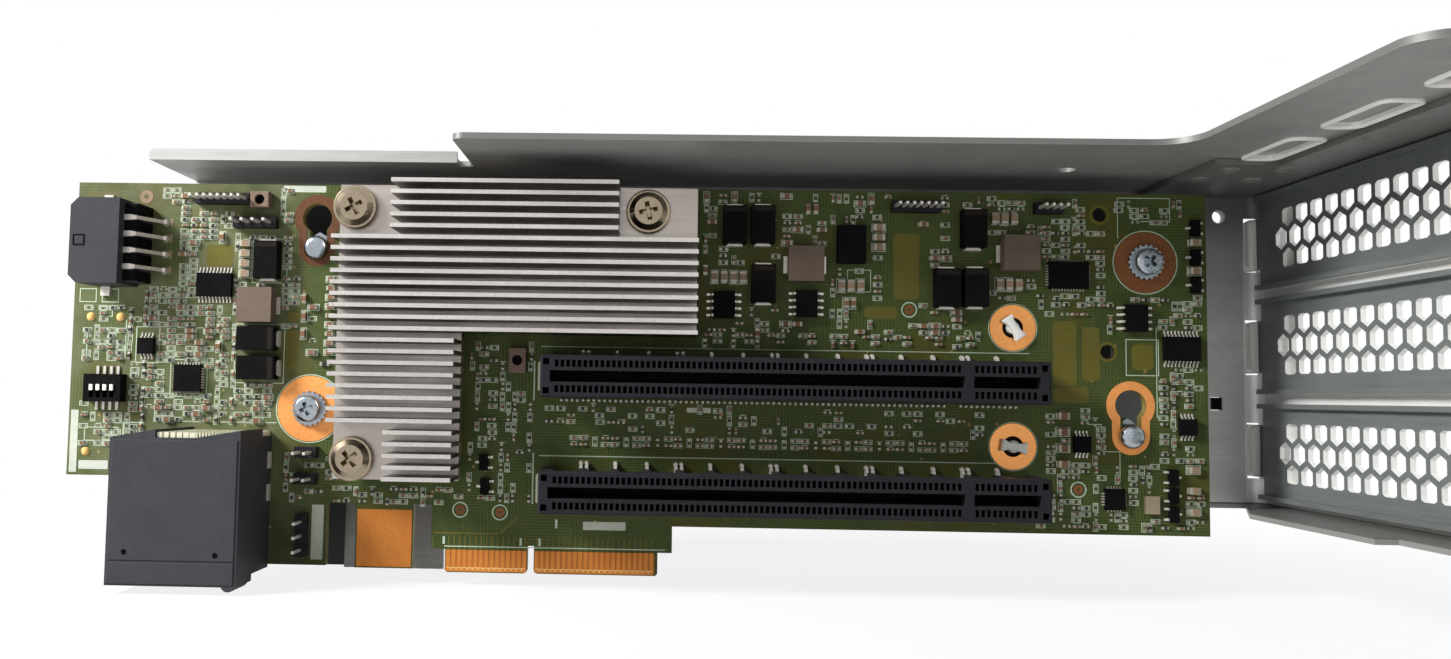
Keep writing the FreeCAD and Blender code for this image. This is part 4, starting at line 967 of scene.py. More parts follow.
NODE_FINISHES: dict[str, Finish] = {
    "circuit_board": MASK, "edge_contacts": GOLD, "power_contacts": GOLD,
    "board_standoffs": ZINC, "board_screws": ZINC, "keyhole_studs": ZINC, "support_posts": NYLON,
    "cage_plate": CAGE, "insulating_film": FILM, "slot_wall": WALL,
    "slot_cover_1": COVER, "slot_cover_2": COVER, "slot_cover_3": COVER, "cover_screws": ZINC,
    "heat_sink": ALUMINIUM, "heat_sink_spacers": ZINC, "heat_sink_screws": NICKEL,
    "switch_chip": PACKAGE, "thermal_pad": PAD, "upper_card_slot": SOCKET, "lower_card_slot": SOCKET,
    "link_connector_shell": CONNECTOR, "link_connector_wafers": WAFER, "link_connector_shields": TIN,
    "power_header_shell": CONNECTOR, "power_header_pins": TIN, "power_header_ears": TIN,
    "header_strips": SOCKET, "header_pins": TIN, "dip_switch_body": PACKAGE, "dip_switch_pins": TIN,
    "dip_slider_1": SLIDER, "dip_slider_2": SLIDER, "dip_slider_3": SLIDER, "dip_slider_4": SLIDER,
    "inductor_cores": CORE, "inductor_feet": TIN, "tantalum_bodies": PACKAGE, "tantalum_feet": TIN,
    "soic_packages": PACKAGE, "small_packages": PACKAGE, "tssop_packages": PACKAGE, "sot_packages": PACKAGE,
    "quad_packages": PACKAGE, "driver_package": PACKAGE, "crystal_can": CAN,
}


def dress_nodes() -> None:
    """Give every CAD node its finish."""
    for name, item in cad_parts.items():
        item.data.materials.clear()
        item.data.materials.append(NODE_FINISHES[name].material())
    log.info("finishes on %d nodes", len(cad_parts))


# Sub-assemblies


def plate(name: str, left: float, low: float, right: float, high: float, rise: float, corner: float = 0.1) -> Piece:
    """Model a thin plate on the component side with cut corners.

    Args:
        name: Object name.
        left, low, right, high: Its edges as X and Z.
        rise: How far it stands out of the board's face.
        corner: Size of its cut corners.

    Returns:
        The plate.
    """
    item = add_block(name, (left, BOARD_FACE - rise, low), (right, BOARD_FACE - SKIN, high))
    bevel(item, along(Side.FRONT), corner)
    return item


def printed_frame(left: float, low: float, right: float, high: float, rise: float, line: float) -> Piece:
    """Model a thin printed frame on the component side.

    Args:
        left, low, right, high: Its edges as X and Z.
        rise: How far it stands out of the board's face.
        line: Width of its line.

    Returns:
        The frame.
    """
    item = add_block("frame", (left, BOARD_FACE - rise, low), (right, BOARD_FACE - SKIN, high))
    hollow(item, Side.FRONT, line)
    return item


@dataclass
class BoardCopper:
    """Bare copper rings, test points, masked copper areas and the tongue's foil on the board."""

    foil: float = 0.05
    lift: float = 0.004
    screw_rings: Sequence[Triple] = ((-41.5, 29.4, 6.05), (111.8, 58.6, 5.6))
    screw_bore: float = 1.9
    peg_rings: Sequence[Spot] = ((87.65, 46.25), (87.6, 24.6))
    peg_ring: Pair = (1.9, 4.2)
    keyholes: Sequence[Spot] = ((-41.2, 64.9), (108.9, 32.4))
    keyhole_drop: float = 5.6
    keyhole_outer: Pair = (4.4, 3.4)
    keyhole_inner: Pair = (2.8, 1.9)
    test_points: Sequence[Spot] = ((-13.1, 11.35), (-5.8, 11.0), (99.35, 17.0), (68.8, 49.3))
    test_dot: Pair = (0.3, 0.85)
    test_ring: Pair = (1.22, 1.46)
    screw_outline: Pair = (0.12, 0.3)
    peg_outline: Pair = (0.12, 0.26)
    plated_holes: Sequence[Spot] = ((103.6, 67.3), (104.8, 42.1))
    plated_ring: Pair = (1.3, 1.85)
    via: Spot = (-73.7, 68.6)
    via_ring: Pair = (0.45, 1.25)
    blobs: Sequence[Spot] = ((-83.3, 45.9), (-77.7, 45.9), (-83.2, 20.9))
    area_rise: float = 0.02
    pours: Sequence[Edges] = (
        (95.0, 35.7, 99.2, 47.6), (100.2, 36.8, 103.4, 46.6), (65.9, 51.2, 70.6, 63.4), (60.6, 47.6, 66.6, 49.8),
        (-61.9, 55.6, -56.9, 59.7), (-47.0, 36.6, -44.1, 44.0), (-64.9, 62.5, -62.4, 64.0),
        (-46.2, 45.4, -44.0, 47.2), (109.2, 38.9, 113.1, 43.5), (95.0, 32.7, 101.4, 35.6),
    )
    fingers: Sequence[tuple[int, float, float]] = ((15, -1.1, -1.0), (22, 1.1, 1.0))
    finger_ends: Pair = (0.15, 4.1)
    trace: Pair = (0.11, 6.6)
    back_finger: Triple = (0.35, 0.8, 0.86)
    tongue_beds: Sequence[Pair] = ((-15.6, -0.72), (0.72, 22.65))
    bevel_rise: Pair = (0.075, 0.01)
    bevel_inset: float = 0.2
    bevel_top: float = 0.95

    def ring(self, spot: Spot, inner: float, outer: float) -> Piece:
        """Model one flat ring.

        Args:
            spot: Its middle as X and Z.
            inner: Inner radius.
            outer: Outer radius.

        Returns:
            The ring.
        """
        face = BOARD_FACE - self.lift
        disc = add_rod("ring", (spot[0], face, spot[1]), outer, self.foil, sides=44)
        cut_away(disc, add_rod("hole", (spot[0], face + 1, spot[1]), inner, 2.0, sides=36))
        return disc

    def keyhole_ring(self, spot: Spot) -> Piece:
        """Model the ring that follows one keyhole's outline.

        Args:
            spot: Middle of the keyhole's bore as X and Z.

        Returns:
            The ring.
        """
        across, up = spot
        low = up - self.keyhole_drop
        face = BOARD_FACE - self.lift
        wide, narrow = self.keyhole_outer
        shape = add_rod("ring", (across, face, up), wide, self.foil, sides=48)
        add_to(shape, add_rod("end", (across, face, low), narrow, self.foil, sides=40))
        add_to(shape, add_block("neck", (across - narrow, face - self.foil, low), (across + narrow, face, up)))
        bore, slot = self.keyhole_inner
        cut_away(shape, add_rod("hole", (across, face + 1, up), bore, 2.0, sides=48))
        cut_away(shape, add_rod("slot_end", (across, face + 1, low), slot, 2.0, sides=40))
        cut_away(shape, add_block("slot", (across - slot, face - 1, low), (across + slot, face + 1, up)))
        return shape

    def rings(self) -> None:
        """Model and dress the rings, dots and plated holes."""
        # The screw ring in light takes the copper; the one under the flange takes a darker copy, painted shade.
        bright, dull = [self.ring((x, z), self.screw_bore, outer) for x, z, outer in self.screw_rings]
        finish_piece(join("copper_rings", [bright, self.keyhole_ring(self.keyholes[1])]), COPPER)
        # The peg rings take the lit copy of the copper, painted light.
        finish_piece(join("peg_rings", [self.ring(spot, *self.peg_ring) for spot in self.peg_rings]), LIT_COPPER)
        # The left keyhole's ring takes the darkest copper copy, painted shade.
        finish_piece(join("keyhole_ring", [self.keyhole_ring(self.keyholes[0])]), DEEPLY_SHADED_COPPER)
        # The test dots share that darker copy: painted shade.
        shaded = [dull, *[self.ring(spot, *self.test_dot) for spot in self.test_points]]
        finish_piece(join("shaded_rings", shaded), SHADED_COPPER)
        outlines = [self.ring(spot, *self.test_ring) for spot in self.test_points]
        near, far = self.screw_outline
        outlines += [self.ring((x, z), outer + near, outer + far) for x, z, outer in self.screw_rings]
        near, far = self.peg_outline
        outlines += [self.ring(spot, self.peg_ring[1] + near, self.peg_ring[1] + far) for spot in self.peg_rings]
        finish_piece(join("ring_outlines", outlines), INK)
        plated = [self.ring(spot, *self.plated_ring) for spot in self.plated_holes]
        finish_piece(join("plated_holes", plated), POUR)
        finish_piece(join("plated_via", [self.ring(self.via, *self.via_ring)]), BUFF)
        blob = add_rod("blob", (0, BOARD_FACE, 0), 0.8, 0.3, sides=20, tip=0.55)
        inset(blob, Side.FRONT, 0.25, 0.12)
        finish_piece(spread("tinned_dots", blob, [shift(x, 0, z) for x, z in self.blobs]), LAMINATE)

    def areas(self) -> None:
        """Model and dress the masked copper areas."""
        plates = [plate("pour", *edges, rise=self.area_rise, corner=0.5) for edges in self.pours]
        plates.append(plate("run", -17.9, 6.95, -5.6, 7.25, rise=self.area_rise))
        slant = plate("run", -0.15, -2.3, 0.15, 2.3, rise=self.area_rise)
        slant.data.transform(shift(-4.1, 0, 8.7, -45))
        plates.append(slant)
        finish_piece(join("copper_areas", plates), POUR)

    def tongue(self) -> None:
        """Model and dress the tongue's bed, bevel, traces and solder-side contacts."""
        low, high = self.finger_ends
        beds, slopes = [], []
        outer, inner = self.bevel_rise
        for left, right in self.tongue_beds:
            beds.append(plate("bed", left, low, right, high, rise=0.03, corner=0.25))
            slope = add_block("slope", (left + self.bevel_inset, BOARD_FACE - outer, low),
                              (right - self.bevel_inset, BOARD_FACE - inner, self.bevel_top))
            taper(slope, facing(Side.FOOT), (1.0, 0.2, 1.0), ON_BOARD)
            slopes.append(slope)
        finish_piece(join("tongue_bed", beds), GAP)
        finish_piece(join("tongue_bevel", slopes), LAMINATE)
        places = [shift(start + step * n, 0, 0) for count, start, step in self.fingers for n in range(count)]
        half, top = self.trace
        trace = plate("trace", -half, high, half, top, rise=self.area_rise, corner=0.05)
        finish_piece(spread("finger_traces", trace, places), POUR)
        half, near, far = self.back_finger
        strip = add_block("finger", (-half, near, low), (half, far, high))
        bevel(strip, along(Side.FRONT), 0.12)
        finish_piece(spread("solder_side_contacts", strip, places), GOLD, slot="gold_plating")

    def build(self) -> None:
        """Model and dress the copper."""
        self.rings()
        self.areas()
        self.tongue()


@dataclass
class BoardPrint:
    """Pale print on the component side: lines, frames and blank strips."""

    rise: float = 0.022
    line: float = 0.16
    strips: Sequence[Edges] = (
        (9.5, 8.1, 17.3, 9.6), (-40.5, 1.8, -38.3, 11.8), (-47.8, 69.8, -39.8, 71.0), (-86.2, 17.0, -84.8, 28.5),
        (-84.4, 17.6, -78.9, 19.2), (28.2, 29.8, 32.6, 30.7),
    )
    lines: Sequence[Edges] = (
        (-15.9, 4.62, 24.6, 4.80), (-16.2, 5.1, -15.8, 6.5), (-2.05, 5.0, -1.65, 6.4), (1.4, 5.0, 1.8, 6.4),
        (4.4, 8.3, 4.8, 9.9), (1.2, 21.4, 90.6, 21.6), (0.0, 12.6, 0.25, 22.0), (1.2, 41.5, 90.6, 41.65),
        (-0.1, 31.6, 0.15, 38.9), (113.6, 30.2, 113.75, 46.8), (103.5, 24.0, 103.65, 28.8),
        (101.2, 28.8, 103.65, 28.95), (103.5, 23.9, 106.9, 24.05), (106.8, 18.4, 106.95, 24.05),
        (106.8, 63.0, 106.95, 70.4), (106.8, 70.4, 116.4, 70.55), (116.3, 66.2, 116.45, 70.5),
        (111.0, 66.1, 116.4, 66.25), (-66.9, 44.0, -56.0, 44.15), (-76.6, 38.2, -76.45, 45.4),
        (-83.9, 41.6, -76.6, 41.75), (-83.9, 37.9, -83.75, 43.6), (-68.6, 26.6, -47.6, 26.75),
    )
    frames: Sequence[Edges] = (
        (108.1, 37.8, 114.1, 44.5), (-56.0, 33.9, -46.6, 45.0), (-53.2, 52.6, -46.6, 61.0),
        (57.4, 52.4, 61.8, 56.6), (-81.6, 45.9, -79.2, 47.9), (-83.6, 22.8, -77.2, 25.4), (-76.4, 22.8, -72.8, 26.4),
        (-67.9, 31.2, -60.9, 38.2), (-85.6, 48.6, -82.4, 51.2), (-81.4, 48.6, -78.2, 51.2), (-74.6, 37.4, -70.1, 44.2),
    )

    def build(self) -> None:
        """Model and dress the print."""
        parts = [plate("line", *edges, rise=self.rise, corner=0.04) for edges in self.lines]
        parts += [printed_frame(*edges, rise=self.rise, line=self.line) for edges in self.frames]
        finish_piece(join("printed_lines", parts), INK)
        blanks = [plate("strip", *edges, rise=self.rise) for edges in self.strips]
        finish_piece(join("blank_strips", blanks), BLANK)


class Chip(Enum):
    """Chip part by body and size: length, width and height; a bare pair of pads has no body."""

    SMALL_CAPACITOR = (1.0, 0.5, 0.5)
    CAPACITOR = (1.6, 0.85, 0.8)
    LARGE_CAPACITOR = (2.0, 1.3, 1.1)
    BUFF_CAPACITOR = (2.0, 1.25, 0.95)
    SMALL_RESISTOR = (1.0, 0.52, 0.35)
    RESISTOR = (1.6, 0.82, 0.45)
    BARE_PADS = (1.0, 0.55, 0.06)


BODY_FINISH: dict[Chip, Finish] = {
    Chip.SMALL_CAPACITOR: CERAMIC, Chip.CAPACITOR: CERAMIC, Chip.LARGE_CAPACITOR: CERAMIC,
    Chip.BUFF_CAPACITOR: BUFF, Chip.SMALL_RESISTOR: PASTE, Chip.RESISTOR: PASTE, Chip.BARE_PADS: SOLDER,
}


@dataclass(frozen=True)
class Zone:
    """Rectangle of the board, as X and Z of its corners."""

    left: float
    low: float
    right: float
    high: float

    def meets(self, x: float, z: float, half_x: float, half_z: float) -> bool:
        """Tell if a part of half sizes at a place meets the zone."""
        return (self.left - half_x < x < self.right + half_x) and (self.low - half_z < z < self.high + half_z)


@dataclass(frozen=True)
class ChipField:
    """A field of chip parts on a grid, with its share of filled places."""

    zone: Zone
    step_x: float
    step_z: float
    share: float
    kinds: Sequence[Chip]


def around(x: float, z: float, width: float, tall: float) -> Zone:
    """Zone of a size round a place."""
    return Zone(x - width / 2, z - tall / 2, x + width / 2, z + tall / 2)


def rooms(width: float, tall: float, *spots: Spot) -> list[Zone]:
    """Zones of one size round places."""
    return [around(*spot, width, tall) for spot in spots]


SOICS: Sequence[Spot] = ((34.8, 49.7), (49.9, 50.1), (109.7, 48.3))
TSSOPS: Sequence[Spot] = ((118.0, 42.8), (-60.0, 52.1))
SMALL_PACKAGES: Sequence[Spot] = ((118.9, 28.6), (99.9, 25.2), (-72.4, 40.55))
TANTALUMS: Sequence[tuple[float, float, bool]] = (
    (-49.9, 56.8, True), (-51.3, 42.2, False), (-51.1, 36.8, False), (36.6, 64.4, True), (41.75, 64.5, True),
    (41.9, 53.6, True), (80.2, 64.2, True), (75.3, 53.3, True), (80.5, 53.4, True),
)
KEEP_OUT: tuple[Zone, ...] = (
    Zone(-75.0, 52.5, -68.6, 66.5), Zone(-71.2, -2.0, -48.0, 26.0), Zone(-36.2, 16.4, -12.0, 71.2),
    Zone(-36.2, 42.8, 30.4, 71.2), Zone(1.4, 31.2, 92.0, 41.0), Zone(0.4, 11.0, 92.0, 20.9),
    Zone(94.8, 32.4, 103.8, 47.8), Zone(65.6, 51.0, 70.8, 63.6), Zone(60.4, 47.4, 66.8, 50.0),
    Zone(-62.0, 55.4, -56.7, 59.8), Zone(-47.2, 36.4, -43.9, 44.2), Zone(-46.4, 45.2, -43.8, 47.4),
    Zone(-86.6, 16.6, -84.6, 28.8), Zone(-84.6, 17.2, -78.6, 20.4), Zone(-40.8, 1.4, -38.0, 12.0),
    Zone(-18.0, 6.6, -2.0, 10.6), around(-79.2, 59.3, 9.6, 21.5), around(-79.5, 32.6, 7.2, 9.0),
    around(-64.4, 34.7, 5.8, 5.8), around(97.7, 56.0, 8.0, 5.8), around(105.7, 15.4, 4.4, 4.6),
    around(58.0, 61.1, 5.5, 7.3), around(112.4, 14.5, 3.2, 3.8), around(-58.7, 68.2, 11.0, 3.0),
    around(-52.5, 63.8, 8.6, 3.0), around(69.8, 68.2, 9.4, 3.0), around(94.0, 68.2, 5.6, 3.0),
    around(-42.0, 6.3, 3.0, 8.2), around(-41.5, 29.4, 13.0, 13.0), around(111.8, 58.6, 12.4, 12.4),
    around(116.2, 16.2, 3.4, 10.2), around(111.1, 41.2, 6.4, 7.0), around(-3.0, 38.9, 3.8, 5.2),
    around(-51.7, 68.1, 4.2, 3.4), *rooms(8.2, 6.8, (-51.6, 48.4), (49.6, 57.3), (88.6, 59.8)),
    *[around(x, z, *((4.6, 7.8) if upright else (7.8, 4.6))) for x, z, upright in TANTALUMS],
    *rooms(6.8, 5.2, *SOICS), *rooms(6.8, 6.8, *TSSOPS), *rooms(3.4, 5.2, *SMALL_PACKAGES),
    *rooms(4.6, 2.6, (-41.6, 21.4), (-41.6, 16.6)), *rooms(9.2, 9.2, (87.6, 46.2), (87.6, 24.6)),
    *rooms(9.2, 15.0, (-41.2, 62.2), (108.9, 29.8)), *rooms(4.2, 4.2, *BoardCopper.plated_holes),
    *rooms(3.2, 3.2, (120.7, 65.0), (120.7, 59.6), (120.7, 54.5), *BoardCopper.test_points),
    *rooms(3.4, 3.4, (-8.9, 20.1), (-8.6, 15.7)), *rooms(2.2, 2.2, *BoardCopper.blobs),
    around(*BoardCopper.via, 3.0, 3.0),
)


@dataclass
class ChipParts:
    """Chip resistors and capacitors on their solder pads, bare pads, and the printed boxes and strokes by them."""

    seed: int = 11
    end_share: float = 0.22
    pad_reach: float = 0.2
    side_gap: float = 0.05
    room: float = 0.06
    upright_share: float = 0.4
    upright_steps: Pair = (0.62, 1.55)
    sway: float = 0.1
    print_gap: float = 0.16
    print_width: float = 0.13
    print_rise: float = 0.022
    dense_left: float = -44.0
    fields: Sequence[ChipField] = (
        ChipField(Zone(-83.8, 22.4, -72.2, 50.6), 1.75, 1.05, 0.86,
                  (Chip.BARE_PADS, Chip.BARE_PADS, Chip.SMALL_RESISTOR, Chip.SMALL_CAPACITOR)),
        ChipField(Zone(-71.6, 27.0, -44.2, 70.2), 1.8, 1.1, 0.92,
                  (Chip.BARE_PADS, Chip.SMALL_RESISTOR, Chip.SMALL_CAPACITOR, Chip.BARE_PADS, Chip.SMALL_CAPACITOR,
                   Chip.CAPACITOR)),
        ChipField(Zone(-46.2, 33.5, -36.8, 57.0), 2.5, 2.1, 0.62, (Chip.CAPACITOR, Chip.RESISTOR, Chip.BARE_PADS)),
        ChipField(Zone(-45.5, 13.0, -36.6, 23.8), 1.9, 1.2, 0.6, (Chip.SMALL_RESISTOR, Chip.SMALL_CAPACITOR)),
        ChipField(Zone(-36.0, 12.6, -12.4, 16.2), 1.8, 1.15, 0.62, (Chip.SMALL_CAPACITOR, Chip.SMALL_RESISTOR)),
        ChipField(Zone(-11.6, 13.6, 0.0, 42.4), 1.8, 1.2, 0.60,
                  (Chip.SMALL_RESISTOR, Chip.BARE_PADS, Chip.SMALL_CAPACITOR)),
        ChipField(Zone(31.3, 42.6, 84.0, 70.2), 2.0, 1.25, 0.52,
                  (Chip.SMALL_CAPACITOR, Chip.SMALL_RESISTOR, Chip.BARE_PADS, Chip.CAPACITOR)),
        ChipField(Zone(84.0, 50.6, 118.6, 70.2), 1.75, 1.1, 0.70,
                  (Chip.SMALL_CAPACITOR, Chip.SMALL_RESISTOR, Chip.BARE_PADS, Chip.SMALL_RESISTOR)),
        ChipField(Zone(92.6, 10.4, 122.2, 52.4), 1.75, 1.1, 0.66,
                  (Chip.SMALL_RESISTOR, Chip.SMALL_CAPACITOR, Chip.BARE_PADS)),
        ChipField(Zone(3.0, 26.6, 82.0, 30.9), 2.0, 1.2, 0.46,
                  (Chip.SMALL_RESISTOR, Chip.BARE_PADS, Chip.SMALL_CAPACITOR)),
    )
    rows: Sequence[tuple[Chip, float, float, float, float, int, bool]] = (
        *[(Chip.SMALL_CAPACITOR, x, z, 5.78, 0.0, 13, False) for z in (24.9, 23.7) for x in (7.6, 9.3)],
        (Chip.BARE_PADS, 11.4, 24.2, 5.78, 0.0, 12, True),
        (Chip.SMALL_CAPACITOR, 32.0, 44.2, 5.78, 0.0, 9, False),
        (Chip.SMALL_CAPACITOR, 33.7, 44.2, 5.78, 0.0, 9, False),
        (Chip.SMALL_CAPACITOR, 33.7, 43.0, 5.78, 0.0, 9, False),
        (Chip.LARGE_CAPACITOR, 96.6, 30.3, 0.0, -2.9, 6, False),
        (Chip.LARGE_CAPACITOR, 93.7, 48.5, 0.0, -2.2, 3, False),
        (Chip.BUFF_CAPACITOR, 33.0, 54.9, 1.75, 0.0, 4, True),
        (Chip.BUFF_CAPACITOR, 84.4, 66.4, 1.75, 0.0, 3, True),
        (Chip.BUFF_CAPACITOR, 85.2, 54.2, 1.75, 0.0, 3, True),
        (Chip.BUFF_CAPACITOR, 63.2, 64.4, 0.0, -1.8, 3, False),
        (Chip.BUFF_CAPACITOR, 56.3, 53.6, 1.75, 0.0, 3, True),
        (Chip.BUFF_CAPACITOR, 120.7, 62.3, 0.0, -5.2, 2, False),
        (Chip.BUFF_CAPACITOR, 120.0, 20.9, 0.0, -3.75, 3, False),
        (Chip.BUFF_CAPACITOR, -54.5, 60.0, 0.0, -1.9, 4, False),
        (Chip.CAPACITOR, -38.2, 55.2, 0.0, -1.7, 10, False),
    )
    kinds: dict[Chip, list[Matrix]] = field(default_factory=dict)
    boxes: list[tuple[float, float, float, float]] = field(default_factory=list)
    taken: list[Zone] = field(default_factory=list)

    def put(self, chip: Chip, x: float, z: float, upright: bool) -> bool:
        """Put one chip on the board where it is free.

        Args:
            chip: Its kind.
            x, z: Its middle.
            upright: True where it lies along Z.

        Returns:
            True if the place was free.
        """
        length, width, _ = chip.value
        reach, wide = length / 2 + self.pad_reach, width / 2 + self.side_gap
        half_x, half_z = (wide, reach) if upright else (reach, wide)
        if any(zone.meets(x, z, half_x + self.room, half_z + self.room) for zone in (*KEEP_OUT, *self.taken)):
            return False
        self.taken.append(around(x, z, half_x * 2, half_z * 2))
        self.kinds.setdefault(chip, []).append(shift(x, 0, z, 90 if upright else 0))
        self.boxes.append((x, z, half_x + self.print_gap, half_z + self.print_gap))
        return True

    def lay_out(self) -> None:
        """Fill the rows and then the fields."""
        dice = random.Random(self.seed)
        aside, higher = self.upright_steps
        for chip, x, z, step_x, step_z, count, upright in self.rows:
            for n in range(count):
                self.put(chip, x + step_x * n, z + step_z * n, upright)
        for area in self.fields:
            across = area.zone.left
            while across < area.zone.right:
                up = area.zone.low
                upright = dice.random() < self.upright_share
                while up < area.zone.high:
                    if dice.random() < area.share:
                        self.put(dice.choice(area.kinds), across + dice.uniform(-self.sway, self.sway), up, upright)
                    up += area.step_z * (higher if upright else 1.0)
                across += area.step_x * (aside if upright else 1.0)

    def pad(self, chip: Chip, side: int) -> Piece:
        """Model the solder at one end of a chip.

        Args:
            chip: Its kind.
            side: 1 for its right end, -1 for its left.

        Returns:
            The solder.
        """
        length, width, height = chip.value
        inner, outer = length / 2 - length * self.end_share, length / 2 + self.pad_reach
        half = width / 2 - 0.01
        low = min(height * 0.55, 0.3)
        solder = add_block("pad", (inner, BOARD_FACE - low, -half), (outer, BOARD_FACE - 0.002, half))
        taper(solder, facing(Side.RIGHT), (1.0, 0.3, 0.9), ON_BOARD)
        if side < 0:
            solder.data.transform(Matrix.Rotation(math.pi, 4, "Y"))
        return solder

    def master(self, chip: Chip) -> Piece:
        """Model one chip: body with two plated ends on its solder, or bare pads alone.

        Args:
            chip: Its kind.

        Returns:
            The chip at the origin, along X.
        """
        length, width, height = chip.value
        pads = [self.pad(chip, side) for side in (1, -1)]
        for pad in pads:
            pad.data.materials.append(SOLDER.material())
        if chip is Chip.BARE_PADS:
            return join("chip", pads)
        end = length / 2 - length * self.end_share
        body = add_block("chip", (-length / 2, BOARD_FACE - height, -width / 2), (length / 2, BOARD_FACE, width / 2))
        slice_at(body, (end, 0, 0), (1, 0, 0))
        slice_at(body, (-end, 0, 0), (1, 0, 0))
        body.data.materials.append(BODY_FINISH[chip].material())
        body.data.materials.append(SOLDER.material())
        for face in body.data.polygons:
            face.material_index = 1 if abs(face.center.x / MM) > end else 0
        taper(body, lambda middle, out: abs(out.x) > STRAIGHT and abs(middle.x) > end, (1.0, 0.9, 0.9), ON_BOARD)
        return join("chip", [*pads, body])

    def prints(self) -> None:
        """Model and dress the printed boxes and the short strokes beside the chips."""
        groups: dict[Pair, list[Matrix]] = {}
        strokes = []
        for n, (x, z, half_x, half_z) in enumerate(self.boxes):
            if n % 5 in (0, 2, 3) or (x < self.dense_left and n % 5 != 1):
                groups.setdefault((round(half_x, 2), round(half_z, 2)), []).append(shift(x, 0, z))
            elif n % 5 == 1:
                strokes.append(shift(x, 0, z + half_z))
        boxes = []
        for (half_x, half_z), places in groups.items():
            box = printed_frame(-half_x, -half_z, half_x, half_z, self.print_rise, self.print_width)
            boxes.append(spread("print", box, places))
        stroke = plate("stroke", -0.55, -0.07, 0.55, 0.07, rise=self.print_rise, corner=0.03)
        boxes.append(spread("strokes", stroke, strokes))
        finish_piece(join("printed_boxes", boxes), INK)

    def build(self) -> None:
        """Model and dress all chips and the print."""
        self.lay_out()
        for chip, places in self.kinds.items():
            item = spread("chips_" + chip.name.lower(), self.master(chip), places)
            finish_piece(item, *([SOLDER] if chip is Chip.BARE_PADS else [BODY_FINISH[chip], SOLDER]))
        self.prints()


@dataclass(frozen=True)
class LeadFamily:
    """Packages of one form with leads on two sides; a lead has a width, a shoulder height and a reach."""

    spots: Sequence[Spot]
    half: float
    pitch: float
    count: int
    upright: bool
    lead: Triple


